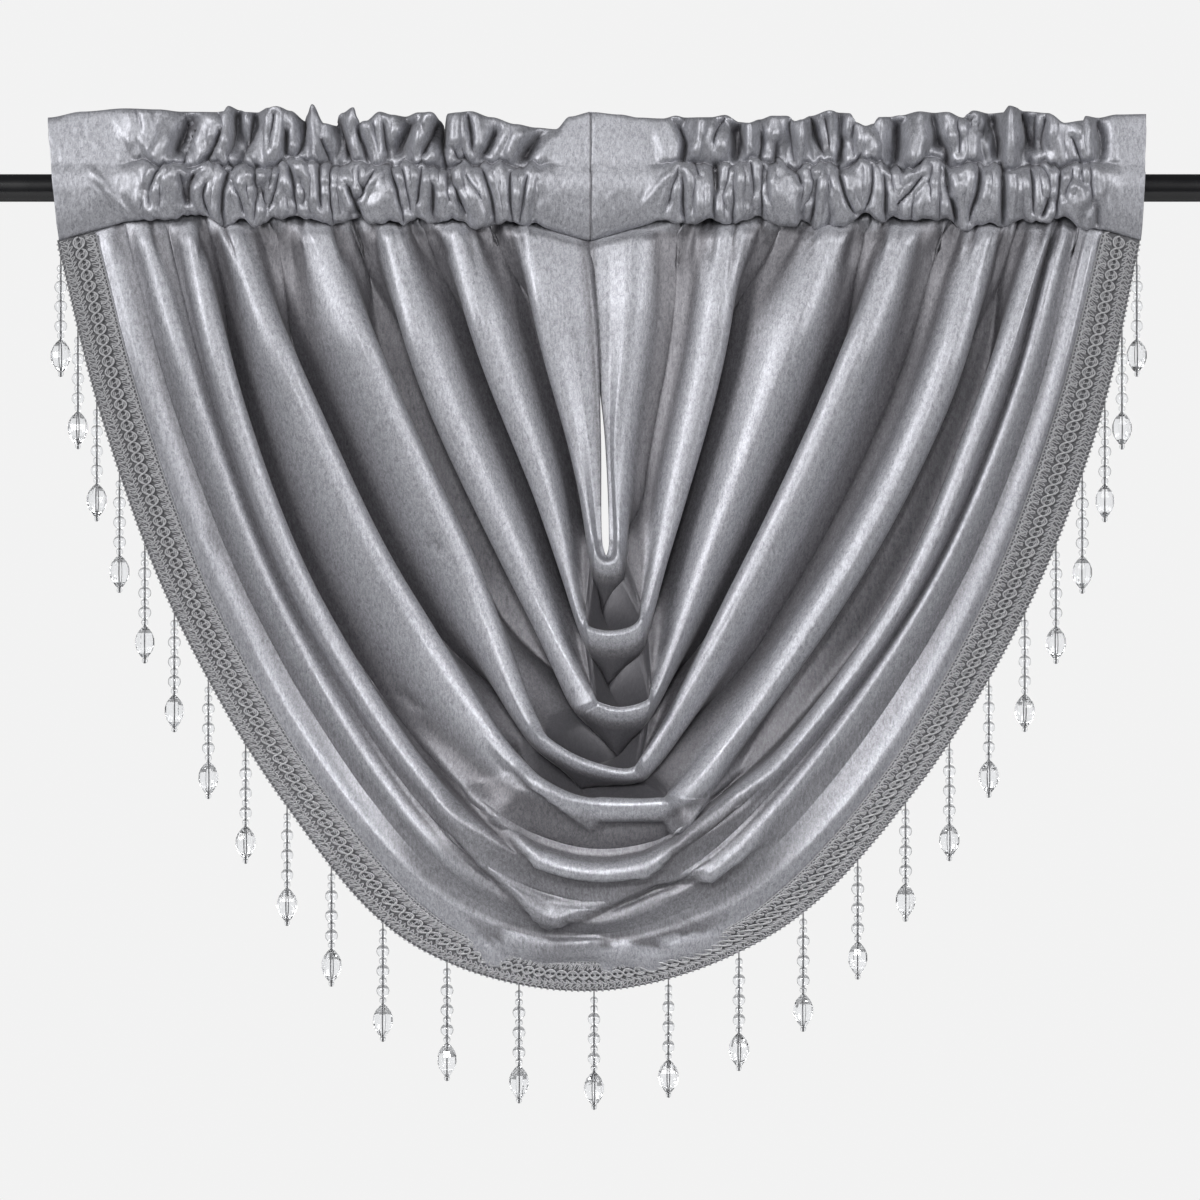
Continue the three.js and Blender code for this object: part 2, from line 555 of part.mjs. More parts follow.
// Braid strip lying on the front of the hem, between the trim's inside and the hem edge
function stripGeometry(grid, normals) {
  const columns = grid[0].length;
  const at = (r, across) => grid[r][columns - 2].clone().lerp(grid[r][columns - 1], across);
  const backOffset = SWAG_THICKNESS / 2 + TRIM_GAP;
  const vertices = [];
  grid.forEach((_, r) => {
    const normal = normals[r];
    TRIM_SECTION.forEach((part) => vertices.push(
      at(r, part.across).addScaledVector(normal, backOffset + part.thick)));
    vertices.push(at(r, TRIM_OVERHANG).addScaledVector(normal, backOffset));
    vertices.push(at(r, TRIM_SECTION[0].across).addScaledVector(normal, backOffset));
  });
  const stride = TRIM_SECTION.length + 2;
  const triangles = [];
  for (let r = 0; r + 1 < grid.length; r += 1) {
    for (let i = 0; i < stride; i += 1) {
      const a = r * stride + i;
      const b = r * stride + ((i + 1) % stride);
      if (i < TRIM_SECTION.length) triangles.push(a, b, b + stride, a, b + stride, a + stride);
      else triangles.push(a, b, a + stride, b, b + stride, a + stride);
    }
  }
  const end = (grid.length - 1) * stride;
  for (let i = 1; i + 1 < stride; i += 1) {
    triangles.push(0, i + 1, i);
    triangles.push(end, end + i, end + i + 1);
  }
  return solidGeometry(vertices, triangles);
}

// Places of the drops, evenly spaced along the trim's outer edge
function dropPoints(grid, normals) {
  const columns = grid[0].length;
  const middle = SWAG_THICKNESS / 2 + TRIM_GAP + TRIM_EDGE_THICKNESS / 2;
  const edge = grid.map((row, r) => row[columns - 2].clone().lerp(row[columns - 1], DROP_ACROSS)
    .addScaledVector(normals[r], middle));
  const lengths = [0];
  for (let i = 1; i < edge.length; i += 1) {
    lengths.push(lengths[i - 1] + edge[i].distanceTo(edge[i - 1]));
  }
  const start = (lengths[lengths.length - 1] - (DROP_COUNT - 1) * DROP_PITCH) / 2;
  return Array.from({ length: DROP_COUNT }, (_, k) => {
    const reach = start + k * DROP_PITCH;
    const next = Math.max(1, lengths.findIndex((length) => length > reach));
    const share = (reach - lengths[next - 1]) / (lengths[next] - lengths[next - 1]);
    return edge[next - 1].clone().lerp(edge[next], share);
  });
}

const kernel = await Module();
kernel.setup();

function toManifold(geometry) {
  const bare = geometry.clone();
  bare.deleteAttribute('normal');
  const merged = mergeVertices(bare, 1e-4);
  return new kernel.Manifold(new kernel.Mesh({
    numProp: 3,
    vertProperties: new Float32Array(merged.attributes.position.array),
    triVerts: new Uint32Array(merged.index.array),
  }));
}

function fromManifold(solid) {
  const mesh = solid.getMesh();
  const geometry = new THREE.BufferGeometry();
  geometry.setAttribute('position', new THREE.Float32BufferAttribute(mesh.vertProperties, 3));
  geometry.setIndex(Array.from(mesh.triVerts));
  geometry.computeVertexNormals();
  return geometry;
}

function trimGeometry(grid, normals) {
  const start = toManifold(stripGeometry(grid, normals));
  const joined = dropPoints(grid, normals).reduce(
    (body, point) => body.add(toManifold(dropGeometry(point))), start);
  return fromManifold(joined);
}

function rodGeometry() {
  const rod = new THREE.CylinderGeometry(ROD_RADIUS, ROD_RADIUS, ROD_LENGTH, ROD_SIDES);
  rod.rotateZ(Math.PI / 2);
  return rod;
}

function namedMesh(name, geometry, color, roughness, metalness) {
  const material = new THREE.MeshStandardMaterial({ color, roughness, metalness });
  const mesh = new THREE.Mesh(geometry, material);
  mesh.name = name;
  return mesh;
}

const swag = swagGrid();
const swagNormals = gridNormals(swag);
const trimNormals = hemNormals(swag);
swagNormals.forEach((row, r) => row.splice(-2, 2, trimNormals[r], trimNormals[r]));
// The trim starts and ends below the heading's lip
const trimRows = swag.slice(1, -1);
const halfSwag = SWAG_THICKNESS / 2;
const valance = new THREE.Group();
valance.name = 'waterfall_valance';
valance.add(
  namedMesh('rod', rodGeometry(), 0x111112, 0.3, 0.4),
  namedMesh('heading_left', bandGeometry(LEFT_BAND, LEFT_GATHERS), 0x9a9ca3, 0.42, 0),
  namedMesh('heading_right', bandGeometry(RIGHT_BAND, RIGHT_GATHERS), 0x9a9ca3, 0.42, 0),
  namedMesh('swag', sheetGeometry(swag, swagNormals, halfSwag, -halfSwag), 0x96969c, 0.42, 0),
  namedMesh('bead_trim', trimGeometry(trimRows, trimNormals.slice(1, -1)), 0x8e8e94, 0.5, 0),
);

export default valance;
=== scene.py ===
"""Looks of a satin waterfall valance on its curtain rod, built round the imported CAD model.

Metres, the CAD model's own frame. The valance faces -Y. Tables are in drawing units of 0.8 mm:
x to the right of the middle, drop downwards from the rod's axis, forward distances in millimetres.
"""

import math

import bpy
import numpy as np
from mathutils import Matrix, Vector, noise


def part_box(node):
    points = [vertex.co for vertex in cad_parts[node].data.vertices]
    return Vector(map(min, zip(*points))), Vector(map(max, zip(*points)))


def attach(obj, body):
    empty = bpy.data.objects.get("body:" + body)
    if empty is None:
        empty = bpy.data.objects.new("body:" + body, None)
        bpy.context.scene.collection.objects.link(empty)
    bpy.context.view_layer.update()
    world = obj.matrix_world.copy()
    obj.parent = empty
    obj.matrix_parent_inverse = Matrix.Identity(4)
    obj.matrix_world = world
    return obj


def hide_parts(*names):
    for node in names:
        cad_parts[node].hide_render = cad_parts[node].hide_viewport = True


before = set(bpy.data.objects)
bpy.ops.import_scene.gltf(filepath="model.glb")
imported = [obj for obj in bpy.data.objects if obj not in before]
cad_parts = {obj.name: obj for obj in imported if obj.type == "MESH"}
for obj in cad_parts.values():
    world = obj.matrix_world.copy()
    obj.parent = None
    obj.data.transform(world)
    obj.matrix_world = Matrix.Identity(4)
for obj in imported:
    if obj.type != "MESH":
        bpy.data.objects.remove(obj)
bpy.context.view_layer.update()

UNIT = 0.0008
MM = 0.001

# Camera, light and stage

VIEW_CENTRE = (0.0024, -0.3296)
VIEW_WIDTH = 0.96
CAMERA_DISTANCE = 3.2
SENSOR_WIDTH = 36.0

VALANCE_AIM = (0, 0, -0.3)
HEM_AIM = (0, 0, -0.62)
OPEN_BEAM = 180
# Area lights: name, place, aim, width and height, power in watts, beam in degrees
LIGHTS = [
    ("left_light", (-2.7, -2.2, 0.9), VALANCE_AIM, (1.2, 1.9), 77, OPEN_BEAM),
    ("right_light", (2.7, -2.2, 0.7), VALANCE_AIM, (1.2, 1.9), 53, OPEN_BEAM),
    ("front_light", (-0.2, -3.4, 0.75), VALANCE_AIM, (0.8, 0.7), 22, OPEN_BEAM),
    ("top_light", (0.1, -2.2, 2.1), VALANCE_AIM, (1.8, 0.7), 17, OPEN_BEAM),
    ("low_light", (0, -1.7, 0.45), HEM_AIM, (0.4, 0.2), 0.42, 34),
]
ROOM_COLOUR = (0.95, 0.96, 1.0, 1)
ROOM_STRENGTH = 0.07
PAPER_COLOUR = (0.89, 0.89, 0.89, 1)
FLOOR_SIZE = 3.2
FLOOR_HEIGHT = -1.3
FLOOR_COLOUR = (0.86, 0.86, 0.86, 1)


def place_camera():
    data = bpy.data.cameras.new("camera")
    data.sensor_width = SENSOR_WIDTH
    data.lens = SENSOR_WIDTH * CAMERA_DISTANCE / VIEW_WIDTH
    camera = bpy.data.objects.new("camera", data)
    camera.location = (VIEW_CENTRE[0], -CAMERA_DISTANCE, VIEW_CENTRE[1])
    camera.rotation_euler = (math.radians(90), 0, 0)
    bpy.context.scene.collection.objects.link(camera)
    bpy.context.scene.camera = camera


def soft_light(name, place, aim, size, power, beam):
    data = bpy.data.lights.new(name, "AREA")
    data.shape = "RECTANGLE"
    data.size, data.size_y = size
    data.energy = power
    data.spread = math.radians(beam)
    light = bpy.data.objects.new(name, data)
    light.location = place
    light.rotation_euler = (Vector(aim) - Vector(place)).to_track_quat("-Z", "Y").to_euler()
    bpy.context.scene.collection.objects.link(light)


def pale_studio_world():
    """Dim even room light, with pale paper where the camera looks past or through the object."""
    world = bpy.data.worlds.new("pale studio")
    bpy.context.scene.world = world
    world.use_nodes = True
    nodes, links = world.node_tree.nodes, world.node_tree.links
    nodes.clear()
    out = nodes.new("ShaderNodeOutputWorld")
    mix = nodes.new("ShaderNodeMixShader")
    room = nodes.new("ShaderNodeBackground")
    paper = nodes.new("ShaderNodeBackground")
    path = nodes.new("ShaderNodeLightPath")
    seen = nodes.new("ShaderNodeMath")
    seen.operation = "MAXIMUM"
    room.inputs[0].default_value = ROOM_COLOUR
    room.inputs[1].default_value = ROOM_STRENGTH
    paper.inputs[0].default_value = PAPER_COLOUR
    paper.inputs[1].default_value = 1.0
    links.new(path.outputs["Is Camera Ray"], seen.inputs[0])
    links.new(path.outputs["Is Transmission Ray"], seen.inputs[1])
    links.new(seen.outputs[0], mix.inputs[0])
    links.new(room.outputs[0], mix.inputs[1])
    links.new(paper.outputs[0], mix.inputs[2])
    links.new(mix.outputs[0], out.inputs[0])


def light_the_studio():
    for light in LIGHTS:
        soft_light(*light)
    bpy.context.scene.view_settings.view_transform = "Standard"
    pale_studio_world()


def lay_floor():
    bpy.ops.mesh.primitive_plane_add(size=FLOOR_SIZE, location=(0, 0, FLOOR_HEIGHT))
    floor = bpy.context.object
    floor.name = "floor"
    n = Nodes("pale floor")
    n.finish(Base_Color=FLOOR_COLOUR, Roughness=0.8)
    floor.data.materials.append(n.material)


# Materials

# How the satin's grain is drawn out along x, y and z, and the painted shadow colour of the deepest pits
GRAIN_DRAW = (1.0, 1.0, 0.42)
PIT_SHADOW_COLOUR = (0.055, 0.053, 0.06, 1)


class Nodes:
    """One material built from linked nodes."""

    def __init__(self, name):
        self.material = bpy.data.materials.new(name)
        self.material.use_nodes = True
        self.tree = self.material.node_tree
        self.shader = self.tree.nodes["Principled BSDF"]

    def put(self, value, socket):
        if isinstance(value, bpy.types.NodeSocket):
            self.tree.links.new(value, socket)
        else:
            socket.default_value = value

    def add(self, kind, settings=None, **inputs):
        """New node. Its inputs go by name, or by number as i0, i1 and so on."""
        node = self.tree.nodes.new(kind)
        for key, value in (settings or {}).items():
            setattr(node, key, value)
        for key, value in inputs.items():
            numbered = key[0] == "i" and key[1:].isdigit()
            self.put(value, node.inputs[int(key[1:]) if numbered else key])
        return node

    def math(self, operation, a, b=0.0):
        return self.add("ShaderNodeMath", {"operation": operation}, i0=a, i1=b).outputs[0]

    def ramp(self, value, stops):
        node = self.add("ShaderNodeValToRGB", i0=value)
        elements = node.color_ramp.elements
        while len(elements) < len(stops):
            elements.new(0.5)
        for element, (place, colour) in zip(elements, stops):
            element.position = place
            element.color = (*colour, 1)
        return node.outputs[0]

    def bump(self, height, distance, strength):
        return self.add("ShaderNodeBump", i0=strength, i1=distance, Height=height).outputs[0]

    def finish(self, **sockets):
        """Sets the shader's sockets, written with _ for a space."""
        for key, value in sockets.items():
            self.put(value, self.shader.inputs[key.replace("_", " ")])


def satin_material():
    """Silver-grey satin: grain drawn out down the cloth, and painted shade down in the folds.

    The attribute "hollow" is 0 on the crests, 1 in a fold and up to 2 in its deepest pit, where a
    painted shadow colour takes over.
    """
    n = Nodes("silver satin")
    where = n.add("ShaderNodeTexCoord").outputs["Object"]
    hollow = n.add("ShaderNodeAttribute", {"attribute_name": "hollow"}).outputs["Fac"]
    cloud = n.add("ShaderNodeTexNoise", i0=where, Scale=26.0, Detail=3.0, Roughness=0.55).outputs[0]
    drawn = n.add("ShaderNodeVectorMath", {"operation": "MULTIPLY"}, i0=where,
                  i1=GRAIN_DRAW).outputs[0]
    grain = n.add("ShaderNodeTexNoise", i0=drawn, Scale=560.0, Detail=2.0, Roughness=0.6,
                  Distortion=0.8).outputs[0]
    speckle = n.add("ShaderNodeTexNoise", i0=where, Scale=950.0, Detail=2.0, Roughness=0.7).outputs[0]
    tone = n.math("ADD", n.math("MULTIPLY", speckle, 0.35), n.math("MULTIPLY", grain, 0.65))
    light = n.ramp(tone, [(0.32, (0.22, 0.222, 0.243)), (0.68, (0.5, 0.505, 0.545))])
    # Painted shade: the colour the satin goes over to down in the folds, then the painted pit shadow
    # past 1
    shaded_colour = n.ramp(tone, [(0.32, (0.085, 0.083, 0.092)), (0.68, (0.2, 0.195, 0.21))])
    sunk = n.add("ShaderNodeMix", {"data_type": "RGBA"}, i0=hollow, i6=light, i7=shaded_colour).outputs[2]
    colour = n.add("ShaderNodeMix", {"data_type": "RGBA"}, i0=n.math("SUBTRACT", hollow, 1.0),
                   i6=sunk, i7=PIT_SHADOW_COLOUR).outputs[2]
    rough = n.ramp(n.math("ADD", n.math("MULTIPLY", cloud, 0.6), n.math("MULTIPLY", speckle, 0.4)),
                   [(0.3, (0.38,) * 3), (0.7, (0.5,) * 3)])
    fine = n.bump(n.math("ADD", grain, n.math("MULTIPLY", speckle, 0.4)), 0.0002, 0.7)
    tangent = n.add("ShaderNodeTangent", {"direction_type": "UV_MAP", "uv_map": "weave"}).outputs[0]
    n.finish(Base_Color=colour, Roughness=rough, Normal=fine, Tangent=tangent, Metallic=0.5)
    n.finish(Sheen_Weight=0.12, Sheen_Roughness=0.35, Specular_IOR_Level=0.55, Anisotropic=0.3)
    return n.material


def rod_material():
    n = Nodes("black painted rod")
    where = n.add("ShaderNodeTexCoord").outputs["Object"]
    peel = n.add("ShaderNodeTexNoise", i0=where, Scale=900.0, Detail=2.0).outputs[0]
    smear = n.add("ShaderNodeTexNoise", i0=where, Scale=14.0, Detail=3.0).outputs[0]
    colour = n.ramp(smear, [(0.35, (0.006, 0.006, 0.007)), (0.7, (0.011, 0.011, 0.012))])
    rough = n.ramp(smear, [(0.35, (0.24,) * 3), (0.7, (0.33,) * 3)])
    n.finish(Base_Color=colour, Roughness=rough, Normal=n.bump(peel, 0.00004, 0.4))
    n.finish(Coat_Weight=0.25, Coat_Roughness=0.2)
    return n.material


def thread_material(name, dark, light, roughness, scale):
    """Twisted grey yarn with a soft lustre."""
    n = Nodes(name)
    where = n.add("ShaderNodeTexCoord").outputs["Object"]
    fibre = n.add("ShaderNodeTexNoise", i0=where, Scale=scale, Detail=4.0, Roughness=0.7).outputs[0]
    colour = n.ramp(fibre, [(0.3, dark), (0.72, light)])
    n.finish(Base_Color=colour, Roughness=roughness, Normal=n.bump(fibre, 0.0003, 0.8))
    n.finish(Sheen_Weight=0.25, Sheen_Roughness=0.4)
    return n.material


def clear_bead_material():
    n = Nodes("clear acrylic bead")
    where = n.add("ShaderNodeTexCoord").outputs["Object"]
    ripple = n.add("ShaderNodeTexNoise", i0=where, Scale=260.0, Detail=1.0).outputs[0]
    n.finish(Base_Color=(0.93, 0.94, 0.955, 1), Roughness=0.03, Transmission_Weight=0.97, IOR=1.47)
    n.finish(Normal=n.bump(ripple, 0.0002, 0.12))
    return n.material


# Tables of the cloth

LEFT_BAND = {"start_top": -549, "start_seam": -537, "end_top": -6.15, "end_seam": -6.15}
RIGHT_BAND = {"start_top": -9.0, "start_seam": -9.0, "end_top": 549, "end_seam": 543}
SEAM_DROP, SEAM_END_DROP, SEAM_END_REACH = 33, 52, 66
SEAM_GAP_DROP = 1.0
STITCH_DROP = -23

# Gathers: x of the crests
LEFT_GATHERS = [
    -452, -437, -423, -407, -388, -367, -345, -329, -313, -300, -289, -276, -257, -234, -211, -201,
    -192, -179, -164, -143, -131, -110, -95, -82, -70,
]
RIGHT_GATHERS = [
    83, 104, 132, 147, 160, 173, 196, 215, 231, 258, 277, 295, 317, 341, 354, 370, 392, 405, 419,
    435, 451, 467, 480, 494,
]

# Waves of the ruffle: x, forward reach, drop of the top edge
RUFFLE_WAVES = [
    (-549, 0, -70), (-514, 1, -76), (-474, 3, -79), (-438, 0, -78), (-416, -5, -76.5),
    (-395, 4, -75), (-380, 6, -74.5), (-372, 8, -75), (-368, 4, -81), (-358, -9, -78.5),
    (-350, 7, -74.5), (-340, -7, -76), (-328, 5, -79), (-319, 7, -80), (-306, 4, -76),
    (-292, -9, -67.5), (-284, 9, -82), (-273, 2, -64), (-261, -9, -63), (-254, 4, -74),
    (-243, 8, -79), (-238, 6, -63), (-231, 3, -66), (-217, 5, -75), (-205, -5, -73.5),
    (-192, -8, -72), (-178, 7, -74), (-166, 8, -74), (-157, 0, -67), (-152, -9, -54),
    (-147, 5, -73.5), (-126, 8, -75), (-106, -5, -71), (-81, 6, -62.5), (-60, -2, -60),
    (-41, -6, -58.5), (-27, 2, -71), (-6, 0, -75.5), (23, 3, -73), (42, -4, -70), (66, 0, -69),
    (79, -2, -72), (88, -8, -71), (103, 8, -69), (114, 2, -70), (128, -3, -73), (143, -11, -67),
    (151, 8, -63.5), (163, -7, -69), (175, 5, -71), (189, -6, -72.5), (198, 3, -66),
    (204, 7, -67), (214, -7, -72.5), (232, 7, -76), (243, -8, -76), (252, 2, -74),
    (258, 6, -64.5), (268, 8, -60.5), (276, 5, -63), (282, 3, -70), (293, -10, -72),
    (303, -4, -72.5), (322, 7, -75), (338, -6, -75.5), (349, 4, -75), (365, 6, -69),
    (376, 3, -76.5), (394, -11, -75.5), (406, 0, -75), (411, 9, -80.5), (429, -6, -77),
    (450, 6, -73.5), (466, 4, -64), (485, 7, -66), (488, 4, -71), (503, -9, -70.5),
    (520, 1, -73), (549, 0, -73.5),
]

# Creases of the gathered pockets and of the ruffles: x at the top, middle and bottom, drop of
# the top and bottom, width, and depth in millimetres; a depth below zero is a soft ridge.
LEFT_CREASES = [
    (-505, -485, -464, -20, 34, 5, -2.5), (-494, -476, -457, -18, 34, 4, 2),
    (-449, -452, -455, -3, 27, 3, 3), (-439, -450, -460, -23, 32, 4, -3),
    (-434, -444, -445, -20, 24, 3, 5), (-415, -412, -408, -12, 24, 3, 5),
    (-397, -406, -403, -16, 24, 5, 7), (-389, -392, -382, -3, 34, 3, 4),
    (-366, -373, -376, -18, 34, 3.5, 6), (-362, -355, -351, -6, 30, 2.5, 3),
    (-341, -339, -340, -23, 27, 3, 6), (-335, -333, -330, -3, 24, 3, 4),
    (-315, -319, -329, -23, 27, 2.5, 5), (-306, -301, -297, -23, 34, 3, 6),
    (-294, -292, -294, -10, 24, 2.5, 4), (-278, -276, -277, -23, 24, 3, 6),
    (-266, -266, -263, -28, 37, 2.5, 5), (-248, -241, -231, -3, 40, 3.5, 7),
    (-236, -236, -235, -20, 10, 2, 3), (-221, -231, -239, -16, 20, 2.5, 4),
    (-207, -198, -192, -23, 37, 3, 7), (-195, -190, -186, -23, 28, 2.5, 5),
    (-175, -176, -180, -20, 22, 3, 5), (-165, -163, -163, -3, 27, 4, 3),
    (-150, -149, -147, -26, 19, 2.5, 5), (-145, -141, -127, -20, 28, 3, 7),
    (-131, -123, -115, -10, 12, 2, 2), (-115, -106, -100, -20, 37, 3, 6),
    (-87, -86, -84, -16, 38, 3, 7), (-68, -74, -79, -13, 38, 3, 4),
    (-477, -469, -466, -50, -22, 4, 1.5), (-457, -447, -440, -50, -25, 4, -2),
    (-402, -414, -426, -72, -26, 8, 9), (-396, -405, -414, -68, -22, 2.5, 4),
    (-373, -381, -390, -58, -22, 4, 5), (-362, -362, -368, -78, -26, 4, 8),
    (-342, -345, -351, -76, -26, 4.5, 8), (-321, -324, -327, -76, -36, 3, 4),
    (-311, -310, -309, -58, -28, 5, 4), (-291, -293, -302, -70, -25, 3.5, 8),
    (-276, -271, -266, -48, -23, 3, 4), (-259, -252, -245, -73, -23, 6, 8),
    (-241, -233, -226, -63, -16, 5, 5), (-214, -212, -209, -66, -28, 3, 5),
    (-180, -193, -200, -68, -30, 6, 5), (-159, -167, -177, -66, -25, 5, 8),
    (-153, -154, -154, -76, -30, 6, 9), (-145, -142, -139, -40, -24, 3, 4),
    (-128, -125, -121, -73, -28, 4, 3.5), (-99, -108, -119, -58, -25, 5, 4),
    (-50, -65, -77, -58, -22, 8, 8),
]
RIGHT_CREASES = [
    (75, 58, 43, -16, 27, 5, -2.5), (82, 74, 67, -20, 30, 3, 3.5), (86, 86, 88, -13, 37, 3.5, 6),
    (95, 99, 103, -26, -8, 2.5, 3), (115, 116, 116, -26, 38, 3, 6), (120, 121, 119, -26, 11, 4, 5),
    (132, 130, 125, -23, 12, 2.5, 4), (139, 136, 138, -18, 40, 3, 2.5), (153, 155, 156, -25, 12, 3, 5),
    (164, 164, 167, -25, 40, 3, 7), (171, 170, 173, -16, 18, 2.5, 4), (200, 202, 204, -16, 2, 4, 2),
    (212, 214, 207, -18, 20, 2.5, 5), (220, 217, 213, -10, 37, 3, 6), (241, 245, 259, -23, 32, 3, 6),
    (272, 273, 267, -23, 30, 2.5, 5), (286, 287, 287, -13, 37, 3.5, 6), (292, 293, 296, -23, 7, 2.5, 3),
    (324, 311, 296, -10, 22, 2.5, 5), (341, 340, 341, -23, 34, 2.5, 4), (346, 348, 351, -23, 10, 4, 6),
    (353, 356, 358, 12, 34, 4, 5), (378, 380, 368, -26, 30, 4, 7), (403, 405, 403, -28, 37, 4, 8),
    (432, 433, 436, -25, 34, 3, 7), (443, 449, 451, -23, 7, 2.5, 3), (450, 447, 441, 10, 32, 4, 5),
    (461, 459, 457, -16, 34, 3, 6), (474, 469, 465, -18, 17, 2.5, 3), (491, 492, 494, -28, 17, 2.5, 4),
    (498, 499, 501, 12, 44, 5, 4), (46, 51, 58, -63, -20, 6, 3), (75, 83, 91, -70, -43, 4, 3),
    (89, 87, 85, -48, -20, 5, 5), (128, 120, 116, -70, -43, 3, 4), (138, 141, 139, -66, -23, 8, 9),
    (165, 164, 162, -53, -23, 3, 6), (180, 179, 179, -48, -20, 4, 3), (192, 195, 198, -70, -23, 3, 3),
    (215, 221, 229, -72, -28, 4, 6), (229, 231, 232, -72, -28, 4, 7), (246, 245, 241, -53, -23, 5, 5),
    (255, 256, 255, -63, -26, 3, 3), (298, 300, 298, -70, -18, 6, 9), (341, 348, 350, -53, -16, 6, 5),
    (358, 360, 361, -70, -28, 3, 3), (369, 380, 392, -71, -48, 3, 4), (397, 400, 403, -78, -23, 6, 9),
    (424, 431, 438, -76, -33, 6, 5), (439, 438, 436, -76, -33, 3, 4), (448, 445, 443, -70, -33, 4, 4),
    (473, 477, 481, -50, -28, 3, 3), (500, 507, 499, -68, -20, 6, 8),
]

# Tucks of the swag below the seam and small notches lower down, same columns
SWAG_TUCKS = [
    (-477, -478, -479, 28, 74, 5, 2), (-447, -441, -434, 24, 78, 4, 3),
    (-392, -394, -395, 20, 80, 4, 5), (-391, -383, -371, 342, 368, 4, 3),
    (-375, -370, -359, 20, 70, 3, 5), (-332, -334, -335, 20, 62, 7, 5),
    (-311, -307, -300, 24, 96, 4, 6), (-296, -296, -294, 20, 74, 3, 4),
    (-262, -256, -249, 27, 80, 4, 6), (-245, -238, -229, 24, 74, 4, 5),
    (-224, -223, -221, 22, 72, 3, 4), (-204, -199, -195, 18, 48, 3, 4),
    (-195, -183, -169, 502, 524, 4, 3), (-189, -176, -159, 28, 82, 5, 5),
    (-179, -161, -150, 342, 368, 4, 4), (-173, -159, -143, 30, 74, 3, 4),
    (-129, -126, -119, 24, 80, 3, 4), (-99, -102, -107, 24, 74, 5, 4), (-83, -79, -75, 27, 68, 3, 4),
    (95, 89, 82, 26, 84, 5, 6), (106, 107, 108, 28, 74, 4, 4), (116, 114, 113, 28, 78, 3, 4),
    (139, 136, 132, 26, 102, 3, 4), (165, 166, 167, 26, 78, 4, 6), (195, 191, 185, 26, 74, 5, 5),
    (213, 214, 214, 20, 78, 3, 4), (263, 256, 248, 27, 78, 6, 4), (288, 285, 281, 24, 78, 3, 6),
    (339, 341, 343, 24, 77, 5, 4), (358, 358, 358, 24, 80, 6, 5), (380, 374, 368, 24, 78, 3, 5),
    (404, 401, 396, 24, 104, 3, 4), (420, 423, 426, 20, 67, 4, 6), (449, 443, 433, 26, 74, 4, 4),
    (463, 459, 453, 24, 74, 3, 4), (482, 477, 471, 24, 74, 3, 3),
]

# Small rims low in the swag: how far the cloth steps back under the rim, how far above it
# the rise starts, and the rim's corners as x and drop. Below zero the cloth under the rim
# stands forward instead.
BOTTOM_RIMS = [
    (4.5, 20, [(-120, 545), (-72, 587), (-6, 638), (4, 627), (65, 627), (78, 647), (110, 606),
               (170, 562)]),
    (6.0, 18, [(-190, 540), (-117, 614), (-60, 671), (-26, 683), (6, 685), (48, 680), (88, 650),
               (190, 570)]),
    (6.0, 16, [(-170, 610), (-117, 668), (-49, 735), (-3, 718), (58, 689), (101, 682), (109, 689),
               (190, 630)]),
    (-5.0, 15, [(-150, 715), (-128, 728), (-102, 755), (-90, 738), (-52, 747), (-2, 741), (11, 757),
                (22, 746), (56, 757), (64, 746), (110, 738), (150, 720)]),
]

# Fold lines: left side, tip, right side, forward reach and roll radius at seam, side and
# bottom. A side holds x at the seam, at one and two thirds, x and drop of corner and bowl.
FOLD_LINES = [
    ([-6.3, 1, 4, 5, 352, 7, 363], (9, 368),
     [-9.5, -3, 8, 12, 352, 11, 363], (7, 14, 24), (1, 1, 1)),
    ([-69, -47, -22, -4, 354, 1, 371], (10, 375),
     [34, 29, 18, 21, 354, 19, 371], (13, 21, 36), (8, 11, 3)),
    ([-145, -102, -51, -13, 438, -5, 444], (15, 447),
     [133, 113, 82, 48, 424, 39, 440], (13, 25, 48), (9, 12.5, 3.5)),
    ([-209, -162, -89, -4, 512, 5, 518], (24, 522),
     [238, 178, 118, 55, 509, 48, 516], (14, 28, 59), (9, 13, 3.5)),
    ([-282, -216, -140, -66, 534, -41, 558], (-7, 575),
     [308, 239, 152, 43, 574, 30, 582], (14, 29, 67), (9, 13.5, 4)),
    ([-372, -296, -208, -79, 578, -41, 603], (-10, 611),
     [391, 330, 228, 78, 608, 60, 612], (14, 29, 70), (9, 14, 4)),
    ([-409, -364, -288, -157, 607, -87, 657], (3, 682),
     [451, 388, 301, 143, 612, 63, 667], (13, 27, 64), (9, 13, 7)),
    ([-455, -395, -317, -197, 612, -117, 692], (-7, 730),
     [465, 414, 329, 193, 597, 93, 694], (11, 23, 53), (8, 11, 8)),
    ([-489, -440, -364, -245, 612, -137, 717], (-7, 752),
     [498, 449, 372, 249, 612, 128, 717], (8, 16, 43), (4, 6, 6)),
    ([-501, -449, -377, -262, 612, -139, 738], (-7, 769),
     [505, 454, 381, 263, 612, 128, 736], (4.4, 12, 36), (1, 1, 1)),
    ([-538, -489, -419, -309, 612, -180, 752], (-5, 797),
     [541, 497, 424, 305, 612, 171, 742], (3.4, 10, 33), (1, 1, 1)),
]

